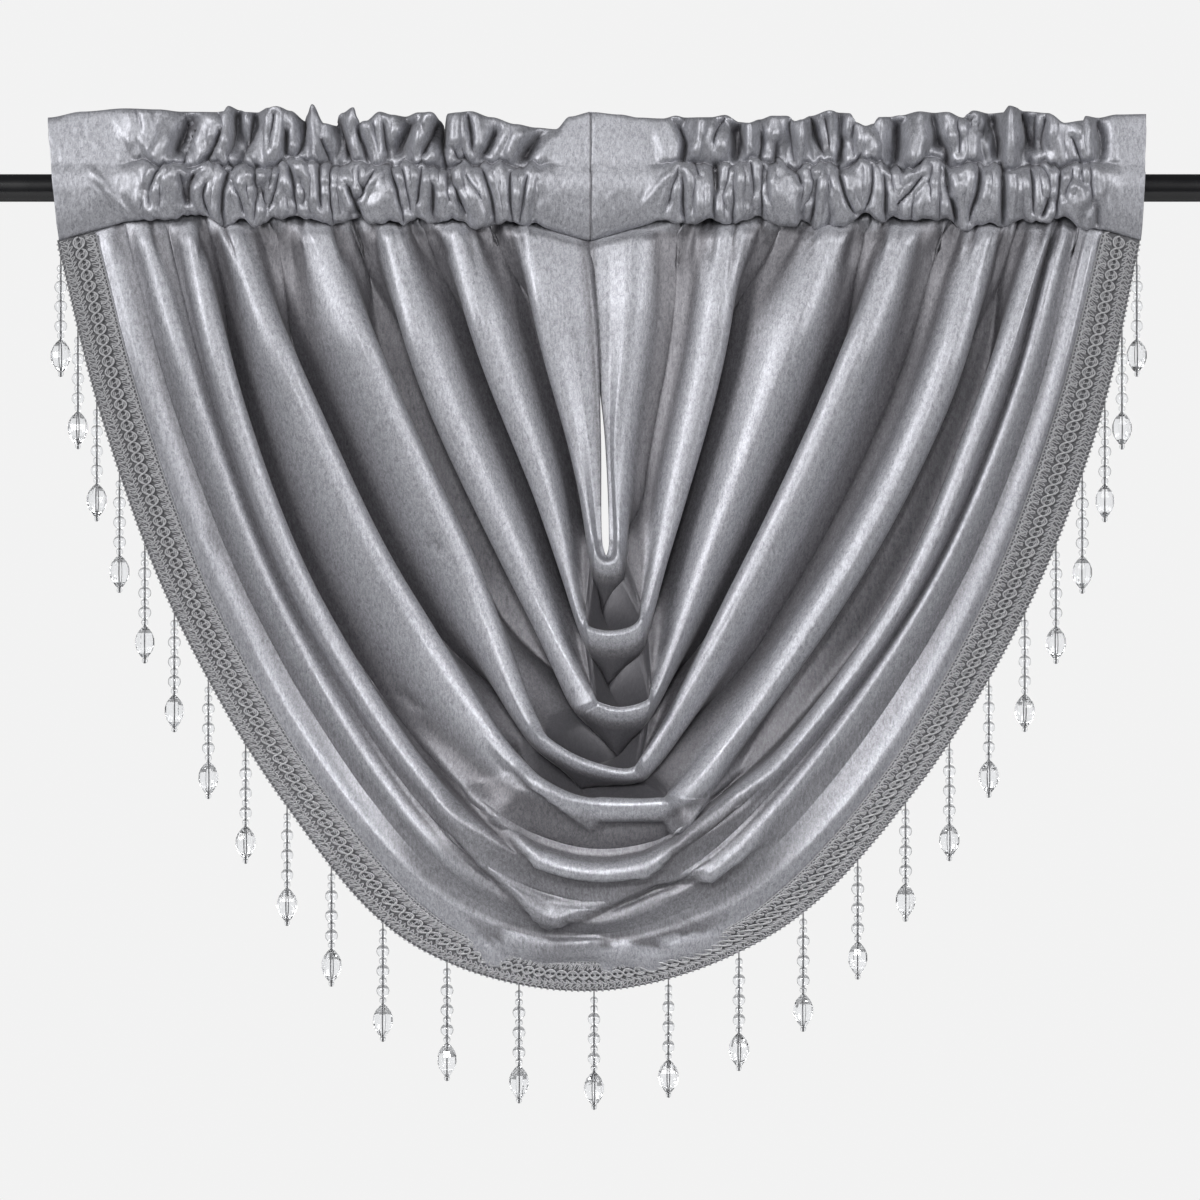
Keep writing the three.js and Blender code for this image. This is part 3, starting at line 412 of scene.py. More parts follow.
# Hollows between fold lines: steps across, depth at seam, left, bottom and right, then
# how far each side is tucked under its crest at left, bottom and right, and how far the
# bottom of the hollow drops behind the outer crest, and x and drop where its floor ends in a V.
HOLLOWS = [
    (8, (0, 2, 4, 2), (0, 0, 0), (0, 0, 0), 0, None),
    (30, (17, 24, 30, 22), (1, 0, 0.2), (0.2, 1, 0.3), 8, (3, 424)),
    (30, (18, 28, 34, 30), (1, 0, 1), (0.1, 1, 0), 9, (9, 496)),
    (30, (18, 30, 34, 31), (1, 0, 0), (1, 1, 1), 9, (24, 568)),
    (30, (18, 32, 26, 32), (0, 0, 0.2), (1, 1, 0.4), 6, (-17, 597)),
    (30, (17, 28, 15, 28), (0, 0, 1), (1, 0.5, 1), 0, None),
    (20, (11, 11, 6, 10), (0.3, 0.2, 0.1), (0.2, 0.4, 0.5), 0, None),
    (20, (8, 9, 5, 8), (0, 0, 0), (0.1, 0, 0.1), 0, None),
    (4, (0, 0, 0, 0), (0, 0, 0), (0, 0, 0), 0, None),
    (7, (0, 0, 0, 0), (0, 0, 0), (0, 0, 0), 0, None),
]

# A small soft fold in one hollow: number of the hollow, forward reach, middle and width as
# shares of the hollow, station where it starts and the stretch over which it grows
MINOR_HOLLOW, MINOR_OUT, MINOR_MIDDLE, MINOR_WIDTH = 5, 4.5, 0.46, 0.2
MINOR_START, MINOR_STRETCH = 2.4, 2.4

# Stations along a fold run from 0 at the left seam over TIP at the bottom to twice TIP at the
# right seam. A fold blooms below the seam, and goes over from its side's values to its bottom's
# values between two stations.
TIP = 5.0
STATION_COUNT, BUNCHING = 234, 0.055
SEAM_BLOOM, SEAM_FADE, BOWL_START, BOWL_FULL = 0.06, 0.8, 2.1, 3.6

# V of a floor: station of the crest's corners, stretch of the blend, shares of the dip
CORNER, VEE_BLEND, VEE_FROM, VEE_OVER = 3.0, 0.8, 0.3, 0.6

# Painted shade in the hollows: depth with the full shade, more shade in a V, less for each
# millimetre of forward push, shade beside the slit
FULL_SHADE_DEPTH, VEE_SHADE, PUSH_SHADE, SLIT_SHADE = 15, 0.8, 0.06, 0.7

# Right edge of the slit: how far it lies behind the left one, and over how many stations
SLIT_LAP, SLIT_STRETCH = 3.0, 1.9

# Seam of the swag: forward place, height tucked up behind the heading, puckers and tucks
TUCK_OUT, TUCK_HEIGHT, PUCKER_OUT, TUCK_IN = 2.6, 8.5, 3.0, 3.2

# Soft side of a hollow: share of the way, share of the depth, and how much deeper low down
SOFT_SIDE = [(0.2, 0.1, 0.14), (0.45, 0.38, 0.22), (0.7, 0.7, 0.12), (0.92, 0.95, 0.0)]

# Relief round a crease in widths of the crease: valley, place and width of its rolled rims;
# reach of the bulge between creases in drawing units
VALLEY, RIM_PLACE, RIM_WIDTH, BULGE_REACH = 1.7, 2.1, 0.75, 10.5

SATIN_THICKNESS = 0.8


def ease(value):
    t = np.clip(value, 0.0, 1.0)
    return t * t * (3 - 2 * t)


def from_seam(stations):
    return TIP - np.abs(stations - TIP)


def lengths_along(points):
    """Length from the first point of a line to each of its points."""
    return np.concatenate([[0], np.cumsum(np.linalg.norm(np.diff(points, axis=0), axis=1))])


def seam_drop(x):
    """Drop of the sewn edge, which hangs lower towards both ends of each band."""
    x = np.asarray(x, float)
    ends = [band[end] for band in (LEFT_BAND, RIGHT_BAND) for end in ("start_seam", "end_seam")]
    near = np.min([np.abs(x - end) for end in ends], axis=0)
    share = np.minimum(1, near / SEAM_END_REACH)
    return SEAM_END_DROP + (SEAM_DROP - SEAM_END_DROP) * share


def smooth_line(points, stations):
    """Point on a smooth line through the given points, one station per point."""
    points = np.asarray(points, float)
    padded = np.vstack([2 * points[0] - points[1], points, 2 * points[-1] - points[-2]])
    first = np.minimum(np.floor(stations).astype(int), len(points) - 2)
    share = (stations - first)[:, None]
    a, b, c, d = (padded[first + k] for k in range(4))
    gap = [np.sqrt(np.linalg.norm(q - p, axis=1))[:, None] for p, q in ((a, b), (b, c), (c, d))]
    rise_b = ((b - a) / gap[0] - (c - a) / (gap[0] + gap[1]) + (c - b) / gap[1]) * gap[1]
    rise_c = ((c - b) / gap[1] - (d - b) / (gap[1] + gap[2]) + (d - c) / gap[2]) * gap[1]
    return b + rise_b * share + (3 * (c - b) - 2 * rise_b - rise_c) * share**2 + (
        2 * (b - c) + rise_b + rise_c) * share**3


def along_fold(stations, at_seam, on_side, at_bottom):
    """Value along a fold from its values at the seam, on the sides and at the bottom."""
    way = from_seam(stations)
    upper = at_seam * ease(way / SEAM_BLOOM)
    upper = upper + (on_side - upper) * ease(way / SEAM_FADE)
    return upper + (at_bottom - upper) * ease((way - BOWL_START) / (BOWL_FULL - BOWL_START))


def fold_line(row, stations):
    """Crest line of one fold in millimetres."""
    left, tip, right, out, _ = row

    def side(values):
        seam_x, third, two_thirds, corner_x, corner_drop, bowl_x, bowl_drop = values
        top = float(seam_drop(seam_x)) + SEAM_GAP_DROP
        return [
            (seam_x, top),
            (third, top + (corner_drop - top) / 3),
            (two_thirds, top + (corner_drop - top) * 2 / 3),
            (corner_x, corner_drop),
            (bowl_x, bowl_drop),
        ]

    points = side(left) + [tip] + side(right)[::-1]
    flat = smooth_line(points, stations) * UNIT / MM
    forward = -TUCK_OUT - along_fold(stations, *out)
    return np.column_stack([flat[:, 0], forward, -flat[:, 1]])


def hollow_knots(gap, roll_a, roll_b, depth, tuck_a, tuck_b, behind, low):
    """Section of one hollow from the inner crest to the outer one, as distances and dips."""
    floor_a = tuck_a * 0.75 * roll_a + (1 - tuck_a) * 0.5 * gap
    floor_b = tuck_b * (0.75 * roll_b - behind) + (1 - tuck_b) * 0.5 * gap

    def side(roll, reach, tuck, floor):
        """One side of the hollow: soft where it is open, crisp where it is tucked under."""
        soft = [(place * reach, (share + more * low) * depth) for place, share, more in SOFT_SIDE]
        crisp = [(0.57 * roll, 0.17 * roll), (0.97 * roll, np.minimum(0.7 * roll, 0.45 * depth)),
                 (0.8 * roll, np.minimum(1.35 * roll, 0.75 * depth)), (floor, 0.97 * depth)]
        return [(sa + (ca - sa) * tuck, sd + (cd - sd) * tuck)
                for (sa, sd), (ca, cd) in zip(soft, crisp)]

    inner = side(roll_a, gap - floor_b, tuck_a, floor_a)
    outer = [(gap - place, dip) for place, dip in side(roll_b, gap - floor_a, tuck_b, floor_b)][::-1]
    middle = ((inner[-1][0] + outer[0][0]) / 2, depth)
    zero = 0 * gap
    return [(zero, zero), *inner, middle, *outer, (gap, zero)]


def between_knots(knots, spot):
    """Distance and dip of a smooth section through a hollow's knots."""
    first = min(int(spot), len(knots) - 2)
    share = spot - first
    a, b = knots[max(first - 1, 0)], knots[first]
    c, d = knots[first + 1], knots[min(first + 2, len(knots) - 1)]
    return [
        b[k] + 0.5 * share * (c[k] - a[k] + share * (
            2 * a[k] - 5 * b[k] + 4 * c[k] - d[k] + share * (3 * (b[k] - c[k]) + d[k] - a[k])))
        for k in (0, 1)]


def swag_stations():
    """Stations closer together round the bottom, where the folds turn."""
    steps = np.linspace(0, 1, STATION_COUNT)
    bunched = steps + BUNCHING * np.sin(4 * np.pi * steps)
    return bunched * 2 * TIP


def vee_floor(column, stations, inner, vee, weight):
    """Draws a hollow's floor into a V, straight from the inner crest's corners to the V's tip."""
    result = column.copy()
    way = from_seam(stations)
    share = np.clip((way - CORNER) / (TIP - CORNER), 0, 1)
    near = weight * ease((way - CORNER + VEE_BLEND) / VEE_BLEND)
    for k, tip in ((0, vee[0] * UNIT / MM), (2, -vee[1] * UNIT / MM)):
        corners = [np.interp(place, stations, inner[:, k]) for place in (CORNER, 2 * TIP - CORNER)]
        corner = np.where(stations < TIP, *corners)
        line = np.where(share > 0, corner + (tip - corner) * share, inner[:, k])
        result[:, k] += near * (line - column[:, k])
    return result


def swag_grid(stations):
    """Middle surface of the swag and its painted shade: rows along the folds, columns across them."""
    crests = [fold_line(row, stations) for row in FOLD_LINES]
    rolls = [along_fold(stations, *row[4]) for row in FOLD_LINES]
    left = stations < TIP
    low = along_fold(stations, 0, 0, 1)
    steep = np.maximum(low, 0.9 - 0.9 * ease(from_seam(stations) / 1.1))
    right_way = (2 * TIP - stations) / SLIT_STRETCH
    crests[0][:, 1] += SLIT_LAP * (stations > TIP) * ease(right_way / 0.2) * ease((1 - right_way) / 0.4)

    def sided(values, at_seam):
        return along_fold(stations, at_seam, np.where(left, values[0], values[2]), values[1])

    columns, fold_shades = [], []
    for index, (steps, depths, tucks_a, tucks_b, behind, vee) in enumerate(HOLLOWS):
        inner, outer = crests[index], crests[index + 1]
        way = (outer - inner)[:, [0, 2]]
        gap = np.maximum(np.linalg.norm(way, axis=1), 0.5)
        depth = along_fold(stations, depths[0], np.where(left, depths[1], depths[3]), depths[2])
        roll_a = np.minimum(rolls[index], 0.32 * gap)
        roll_b = np.minimum(rolls[index + 1], 0.32 * gap)
        knots = hollow_knots(gap, roll_a, roll_b, depth, sided(tucks_a, 0.2), sided(tucks_b, 0.2),
                             behind * low, low)
        last = index == len(HOLLOWS) - 1
        for step in range(steps + last):
            distance, dip = between_knots(knots, step / steps * (len(knots) - 1))
            column = inner + (outer - inner) * (distance / gap)[:, None]
            column[:, 1] += dip
            if vee:
                weight = ease((dip / np.maximum(depth, 1) - VEE_FROM) / VEE_OVER)
                column = vee_floor(column, stations, inner, vee, weight)
            if index == MINOR_HOLLOW:
                away = (distance / gap - MINOR_MIDDLE) / MINOR_WIDTH
                started = ease((from_seam(stations) - MINOR_START) / MINOR_STRETCH)
                column[:, 1] -= MINOR_OUT * started * np.exp(-away * away)
            columns.append(column)
            # Painted shade deepening down each hollow, stronger in a V low down
            shape = ease((dip / np.maximum(depth, 0.3) - 0.1 + 0.06 * low) / (0.75 - 0.4 * steep))
            level = np.clip(np.maximum(depth, depths[0]) / FULL_SHADE_DEPTH, 0, 1)
            fold_shades.append(shape * level * (1 + VEE_SHADE * low * bool(vee)))
    return np.stack(columns, axis=1), np.stack(fold_shades, axis=1)


def grid_normals(grid):
    along = np.gradient(grid, axis=0)
    across = np.gradient(grid, axis=1)
    normals = np.cross(across, along)
    return normals / np.maximum(np.linalg.norm(normals, axis=2, keepdims=True), 1e-9)


def gather_index(gathers, x):
    """Number of the gather at x, with fractions between two crests."""
    places = np.array(gathers, float)
    return np.interp(x, places, np.arange(len(places)), left=-0.5, right=len(places) - 0.5)


def crease_relief(creases, x, drop):
    """Relief round a table of creases: share from 0 in a crease to 1 beside it, the rolled rims
    along the creases, the wide bulge of the cloth between them, and soft ridges in millimetres.
    """
    rise, wide = np.ones_like(x), np.ones_like(x)
    rim, ridge = np.zeros_like(x), np.zeros_like(x)
    for top_x, mid_x, bottom_x, top, bottom, width, depth in creases:
        v = (drop - top) / (bottom - top)
        middle = top_x * (1 - v) * (1 - 2 * v) + mid_x * 4 * v * (1 - v) + bottom_x * v * (2 * v - 1)
        away = np.abs(x - middle)
        fade = ease(v / 0.3 + 0.3) * ease((1 - v) / 0.4 + 0.2)
        if depth > 0:
            strength = fade * min(1, 0.35 + depth / 9)
            rise = np.minimum(rise, 1 - strength * (1 - ease(away / width / VALLEY)))
            rim = np.maximum(rim, strength * np.exp(-(((away / width - RIM_PLACE) / RIM_WIDTH) ** 2)))
            wide = np.minimum(wide, 1 - strength * np.exp(-((away / BULGE_REACH) ** 2)))
        else:
            ridge -= fade * depth * np.exp(-((away / width) ** 2))
    return rise, rim * rise, wide, ridge


def low_rims(x, drop):
    """Small rims low in the swag: push up to each rim, step back under it, and painted shade there."""
    push, shade = np.zeros_like(x), np.zeros_like(x)
    for depth, rise, line in BOTTOM_RIMS:
        places = np.array(line, float)
        below = drop - np.interp(x, places[:, 0], places[:, 1])
        ends = ease((x - places[0, 0]) / 60) * ease((places[-1, 0] - x) / 60)
        lip = np.where(below < 0, np.exp(-((below / rise) ** 2)), np.exp(-below / 1.6))
        lip -= 0.45 * np.exp(-(((below - 5) / 6) ** 2))
        if depth < 0:
            lip = -ease(below / rise * 2) * ease(2 - below / rise)
            below = -below
        push += ends * depth * lip
        # Painted shade on the stepped-back side of each rim, fading away from it
        shade = np.maximum(shade, ends * (0.55 + 0.08 * abs(depth)) * ease(below / 1.5)
                           * np.clip(1 - below / (3 * rise), 0, 1))
    return push, shade


def seam_puckers(grid):
    """Forward push and painted shade of the pleats and tucks below the seam and of the rims low down.
    """
    x, drop = grid[..., 0] * MM / UNIT, -grid[..., 2] * MM / UNIT
    rows, columns = grid.shape[:2]
    push = np.zeros((rows, columns))
    for rim, gathers in ((0, LEFT_GATHERS), (-1, RIGHT_GATHERS)):
        seam_x = grid[rim, :, 0] * MM / UNIT
        index = gather_index(gathers, seam_x)
        inside = (index > -0.4) & (index < len(gathers) - 0.6)
        wave = (np.abs(np.sin(np.pi * index + np.pi / 2)) ** 0.7) * inside
        reach = 26 + 14 * np.sin(index * 2.3) + 9 * np.sin(index * 5.1)
        half = rows // 2
        part = slice(0, half) if rim == 0 else slice(rows - half, rows)
        below = grid[rim, :, 2] - grid[part, :, 2]
        pleats = PUCKER_OUT * (wave - 0.6) * np.exp(-((below / reach) ** 2))
        push[part] += pleats * ease((below + 2) / 6)
    filled = crease_relief(SWAG_TUCKS, x, drop)[0]
    push -= TUCK_IN * (1 - filled) * ease((drop - 24) / 14)
    # Painted shade in the tucks and where the pleats sink back near the seam
    near_seam = np.exp(-(((drop - SEAM_DROP) / 40) ** 2))
    shade = 0.6 * (1 - filled) + 0.5 * np.clip(-push / 3, 0, 1) * near_seam
    rims, rim_shade = low_rims(x, drop)
    return push + rims, np.maximum(shade, rim_shade)


# Building sheets


def sheet_mesh(name, grid, normals, thickness, uv_size, hollow=None):
    """Closed thin sheet on a point grid in millimetres, with the painted shade "hollow" of each point.

    uv_size holds the lengths across and down the flat cloth, in metres.
    """
    rows, columns = grid.shape[:2]
    front = (grid + normals * thickness / 2) * MM
    back = (grid - normals * thickness / 2) * MM
    vertices = np.concatenate([front.reshape(-1, 3), back.reshape(-1, 3)])
    number = np.arange(rows * columns).reshape(rows, columns)
    a, b = number[:-1, :-1].ravel(), number[:-1, 1:].ravel()
    c, d = number[1:, 1:].ravel(), number[1:, :-1].ravel()
    shift = rows * columns
    faces = [np.column_stack([a, b, c, d]), np.column_stack([a, d, c, b]) + shift]
    rims = [(number[:, 0], False), (number[:, -1], True), (number[0, :], True),
            (number[-1, :], False)]
    for rim, flip in rims:
        low, high = rim[:-1], rim[1:]
        side = np.column_stack([low, high, high + shift, low + shift])
        faces.append(side[:, ::-1] if flip else side)
    faces = np.concatenate(faces)
    mesh = bpy.data.meshes.new(name)
    mesh.from_pydata(vertices.tolist(), [], faces.tolist())
    layer = mesh.uv_layers.new(name="weave")
    u, v = np.meshgrid(*uv_size)
    flat_uv = np.column_stack([u.ravel(), v.ravel()])
    flat_uv = np.concatenate([flat_uv, flat_uv])
    loops = np.empty(len(mesh.loops), int)
    mesh.loops.foreach_get("vertex_index", loops)
    layer.data.foreach_set("uv", flat_uv[loops].ravel())
    if hollow is not None:
        shade = mesh.attributes.new("hollow", "FLOAT", "POINT")
        shade.data.foreach_set("value", np.concatenate([hollow.ravel(), hollow.ravel()]))
    mesh.update()
    return mesh


def add_piece(name, mesh, material, smooth=True):
    piece = bpy.data.objects.new(name, mesh)
    bpy.context.scene.collection.objects.link(piece)
    mesh.materials.append(material)
    if smooth:
        mesh.polygons.foreach_set("use_smooth", [True] * len(mesh.polygons))
    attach(piece, "root")
    return piece


def build_swag(satin):
    stations = swag_stations()
    grid, fold_shades = swag_grid(stations)
    push, shade = seam_puckers(grid)
    grid = grid + grid_normals(grid) * push[:, :, None]
    # Painted shade: the folds' shade less where the cloth is pushed forward, at least the shade of the
    # tucks and rims, and painted shade beside the slit
    hollow = np.clip(np.maximum(fold_shades - PUSH_SHADE * push, shade), 0, 2)
    hollow[:, :2] = np.maximum(hollow[:, :2], SLIT_SHADE * (np.abs(stations - TIP) > 2.4)[:, None])
    tucked = [grid[k] + (0, 0, TUCK_HEIGHT) for k in (0, -1)]
    grid = np.concatenate([tucked[0][None], grid, tucked[1][None]])
    hollow = np.concatenate([hollow[:1], hollow, hollow[-1:]])
    spacing = np.linalg.norm(np.diff(grid, axis=1), axis=2).mean(axis=0)
    across = np.concatenate([[0], np.cumsum(spacing)]) * MM
    along = lengths_along(grid[:, 60]) * MM
    mesh = sheet_mesh("swag_cloth", grid, grid_normals(grid), SATIN_THICKNESS, (across, along), hollow)
    piece = add_piece("swag_cloth", mesh, satin)
    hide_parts("swag")
    return piece


# Heading bands

# Section of a band from the front lip over the ruffle's top to the back: whether the row
# follows the seam or the top edge, drop, forward reach where the band is gathered and where
# it lies flat, share of the ruffle's waves
SECTION = [
    ("seam", -0.6, 5.2, 3.4, 0), ("seam", 0.8, 7.8, 4.8, 0), ("seam", -6, 12.6, 9.0, 0),
    ("fixed", 12, 17.6, 12.8, 0), ("fixed", -0.6, 19.2, 13.4, 0), ("fixed", -11, 18.0, 12.6, 0),
    ("fixed", -18, 13.6, 10.6, 0.1), ("fixed", -23, 5.0, 9.2, 0.35), ("fixed", -28, 6.4, 8.6, 0.7),
    ("fixed", -50, 6.4, 6.2, 1), ("top", 1.5, 2.4, 1.6, 1), ("top", 0, 0.8, 0, 1),
    ("top", 1.5, -0.6, -1.2, 1), ("fixed", -50, -1.7, -1.7, 0.6), ("fixed", -23, -1.3, -1.3, 0.12),
    ("fixed", -10, -10.6, -10.6, 0), ("fixed", -0.6, -13.1, -13.1, 0), ("fixed", 10, -10.6, -10.6, 0),
    ("seam", -7, -2.6, -2.6, 0),
]
STITCH_ROWS = (6, 7, 8)
FRONT_ROWS = 11.0
ROD_CLEARANCE = 12.2

BAND_COLUMNS, BAND_STEPS, FRONT_SHARE = 545, 76, 0.72

# The gathers start this far outside the first crest and are full after the stretch
GATHER_START, GATHER_STRETCH = 38, 54

# Relief in millimetres: cloth beside a crease, its rims, the bulge between creases, how far
# all of it is set back, ridges of creased satin on flat cloth and more of them on gathered
# cloth, and broad waves
CREASE_DEPTH, RIM_HEIGHT, BULGE_HEIGHT, SET_BACK = 9.5, 3.4, 6.0, 11.0
FLAT_RIDGES, GATHER_RIDGES, WAVE_HEIGHT = 0.5, 1.1, 6.0

# The right band's end is lapped behind the left band's end
LAP, LAP_STRETCH = 1.6, 9
# Painted shade along the slit's edge
SLIT_EDGE_SHADE = 0.8


def table_value(x, column):
    """Value of one column of the ruffle's waves at x."""
    places = np.array([row[0] for row in RUFFLE_WAVES], float)
    values = np.array([row[column] for row in RUFFLE_WAVES], float)
    after = np.clip(np.searchsorted(places, x, side="right"), 1, len(places) - 1)
    share = ease((x - places[after - 1]) / (places[after] - places[after - 1]))
    return values[after - 1] + (values[after] - values[after - 1]) * share


def uneven(x, seed, pitch):
    """Smooth uneven run of values along x, from about -1 to 1."""
    return np.array([noise.noise(Vector((a / pitch, seed, 0.5))) for a in x])


def crumple(x, drop, seed):
    """Crisp uneven ridges of creased satin and its broad uneven waves, each from about -1 to 1."""
    values, waves = [], []
    for a, b in zip(x.ravel(), drop.ravel()):
        warp = noise.noise(Vector((a / 24, b / 24, seed + 5)))
        main = noise.noise(Vector((a / 14 + 1.2 * warp, b / 30 + warp, seed)))
        small = noise.noise(Vector((a / 7, b / 16, seed + 9)))
        values.append(0.6 - 2.0 * abs(main) + 0.25 * small)
        waves.append(1.6 * noise.noise(Vector((a / 15 + 0.8 * warp, b / 55, seed + 14))))
    return np.array(values).reshape(x.shape), np.array(waves).reshape(x.shape)


def lip_scallop(xs, push, gathered, seed, stations):
    """Uneven drop of the band's lower lip, lower under the cloth that stands forward."""
    scallop = gathered * (11.0 * uneven(xs, seed + 4, 20.0) + 3.0 * uneven(xs, seed + 6, 7.0))
    scallop = scallop + 0.3 * np.clip(push, -6, 3.5) * gathered
    return scallop * (1 - ease((stations - 0.8) / 2.8))[:, None]


def band_section(band, xs, gathered, ruffle, wobble):
    """Smooth pocket and ruffle before the gathers: stations down the section, x, reach, drop."""
    span = (xs - band["start_top"]) / (band["end_top"] - band["start_top"])
    seam_x = band["start_seam"] + (band["end_seam"] - band["start_seam"]) * span
    top, bottom = table_value(xs, 2), seam_drop(seam_x)
    base = {"seam": bottom, "top": top, "fixed": 0.0}
    rows = []
    for number, (kind, drop, forward, flat, waved) in enumerate(SECTION):
        place = base[kind] + drop + wobble * (number in STITCH_ROWS)
        down = (place - top) / (bottom - top)
        x = xs + (seam_x - xs) * down
        reach = flat + (forward - flat) * gathered
        rows.append(np.column_stack([x, reach + ruffle * waved * gathered, place]))
    knots = np.stack(rows)
    front = np.linspace(0, FRONT_ROWS, int(BAND_STEPS * FRONT_SHARE))
    back = np.linspace(FRONT_ROWS, len(SECTION) - 1, BAND_STEPS - len(front) + 1)[1:]
    stations = np.concatenate([front, back])
    grid = np.stack([smooth_line(knots[:, c], stations) for c in range(BAND_COLUMNS)], axis=1)
    return stations, grid[..., 0], grid[..., 1], grid[..., 2]


def band_grid(band, gathers, creases, seed):
    """Middle surface of a gathered band and its painted shade: rows down the section, columns along x.
    """
    xs = np.linspace(band["start_top"], band["end_top"], BAND_COLUMNS)
    ruffle = table_value(xs, 1)
    gathered = ease((xs - gathers[0] + GATHER_START) / GATHER_STRETCH) * ease(
        (gathers[-1] + GATHER_START - xs) / GATHER_STRETCH)
    wobble = gathered * (9.0 * uneven(xs, seed, 15.0) + 4.0 * uneven(xs, seed + 2, 6.0))
    stations, x, out, drop = band_section(band, xs, gathered, ruffle, wobble)
    facing = ease((FRONT_ROWS - 0.3 - stations) / 0.8)[:, None] * np.ones(BAND_COLUMNS)
    lip = ease((stations - 0.2) / 1.6)[:, None]
    near_stitch = np.exp(-(((drop - STITCH_DROP - wobble) / 2.6) ** 2))

    # Creases, ridges and waves
    rise, rim, wide, ridge = crease_relief(creases, x, drop)
    creased, waves = crumple(x, drop, seed)
    push = gathered * (CREASE_DEPTH * rise + RIM_HEIGHT * rim + BULGE_HEIGHT * wide - SET_BACK)
    push += ridge + (GATHER_RIDGES * gathered + FLAT_RIDGES) * creased + WAVE_HEIGHT * gathered * waves
    push *= (1 - 0.4 * near_stitch) * (0.5 + 0.5 * lip)

    # The back is drawn back with the creases, and the front stays before it and off the rod
    drawn_back = 0.3 * np.minimum(push, 0)
    out = out + push * facing + drawn_back * (1 - facing)
    over_rod = np.sqrt(np.maximum(ROD_CLEARANCE**2 - (drop * UNIT / MM) ** 2, 4.0))
    before_back = np.interp(-drop, [23, 50], [0.12, 0.6]) * (ruffle * gathered) + drawn_back
    least = np.where(drop < STITCH_DROP + 4, before_back, over_rod)
    out = np.where(stations[:, None] < FRONT_ROWS - 1.5, np.maximum(out, least), out)
    if band is RIGHT_BAND:
        lapped = LAP * (1 - ease((xs - xs[0]) / LAP_STRETCH))
        out -= lapped * np.where(stations < FRONT_ROWS, 1, -1)[:, None]

    # The lower lip hangs unevenly, and the cloth beside a crease leans into it
    drop = drop + lip_scallop(xs, push, gathered, seed, stations)
    swing = np.clip(1.1 * np.gradient(push, axis=1), -2.2, 2.2) * facing

    # Painted shade in the creases, on the ruffle where it falls back and along the stitch line, less on
    # the rims, ridges and rising waves
    ruffled = ease((STITCH_DROP - 2 - drop) / 8) * np.clip(-ruffle / 9, 0, 1)
    sunk = np.maximum(1.2 - rise / 0.7, 0.5 * ruffled)
    sunk = np.maximum(sunk, 0.75 * near_stitch * ease((drop - STITCH_DROP - wobble) / 2 + 0.6))
    hollow = 1.35 * sunk - 0.45 * rim - 0.3 * np.clip(creased, 0, 1) - 0.4 * waves - 0.12
    hollow = np.clip(hollow, 0, 1.5) * facing * gathered
    slit = slice(-2, None) if band is LEFT_BAND else slice(0, 2)
    # Painted shade along the slit's edge
    hollow[:, slit] = SLIT_EDGE_SHADE
    grid = np.stack([(x - swing) * UNIT / MM, -out, -drop * UNIT / MM], axis=-1)
    return grid, hollow


def build_band(node, band, gathers, creases, seed, satin):
    grid, hollow = band_grid(band, gathers, creases, seed)
    grid, hollow = grid[::-1], hollow[::-1]
    across = lengths_along(grid[grid.shape[0] // 2]) * MM
    down = lengths_along(grid[:, 5]) * MM
    name = node + "_cloth"
    mesh = sheet_mesh(name, grid, grid_normals(grid), SATIN_THICKNESS, (across, down), hollow)
    piece = add_piece(name, mesh, satin)
    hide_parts(node)
    return piece


# Rod


def build_rod(material):
    for item in bpy.context.selected_objects:
        item.select_set(False)
    low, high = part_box("rod")
    radius = (high[2] - low[2]) / 2
    bpy.ops.mesh.primitive_cylinder_add(vertices=96, radius=radius, depth=high[0] - low[0],
                                        end_fill_type="NGON")
    rod = bpy.context.object
    rod.name = "rod_tube"
    rod.data.name = "rod_tube"
    bpy.ops.object.mode_set(mode="EDIT")
    bpy.ops.mesh.select_all(action="SELECT")
    bpy.ops.transform.rotate(value=math.pi / 2, orient_axis="Y", center_override=(0, 0, 0))
    bpy.ops.object.mode_set(mode="OBJECT")
    bevel = rod.modifiers.new("eased ends", "BEVEL")
    bevel.width = 0.0012
    bevel.segments = 3
    bevel.limit_method = "ANGLE"
    bpy.ops.object.modifier_apply(modifier=bevel.name)
    bpy.ops.object.shade_smooth_by_angle(angle=math.radians(35))
    rod.data.materials.append(material)
    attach(rod, "root")
    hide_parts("rod")
    return rod


# Braid and bead drops

BRAID_WIDTH = 28
BRAID_END = 4.0
OVAL_PITCH = 8.9
CHAIN_MIDDLE, CHAIN_HALF = 0.48, 0.145
# Cords of the chain: half width of the wave, height and radius
CHAIN_CORDS = [(CHAIN_HALF, 2.9, 0.72), (0.66 * CHAIN_HALF, 2.5, 0.45)]
# Stitches in each eye of the chain: ends along the braid and across it
EYE_STITCHES = [
    ((-1.9, 1.9), (0.045, 0.062)), ((-1.9, 1.9), (-0.062, -0.045)), ((-0.5, 0.5), (-0.05, 0.05)),
]
THREAD_KNOTS = (-3.0, 0.0, 30.0, 60.0, 93.0)
DROP_COUNT, DROP_PITCH, DROP_ACROSS = 27, 59.7, 1.045

# Round beads of a drop: distance of the middle below the braid's edge, radius
ROUND_BEADS = [(7.4, 3.1), (13.8, 3.1), (22.1, 5.1), (29.9, 3.1), (37.7, 5.1), (45.6, 3.1),
               (53.4, 5.1), (61.1, 2.8), (91.6, 2.3)]
# Cut oval bead: distance below the braid's edge, radius
OVAL_BEAD = [(63.9, 0.9), (66.0, 3.3), (69.6, 6.2), (74.2, 8.0), (78.8, 8.1), (83.4, 6.6),
             (87.4, 3.9), (89.4, 2.3)]


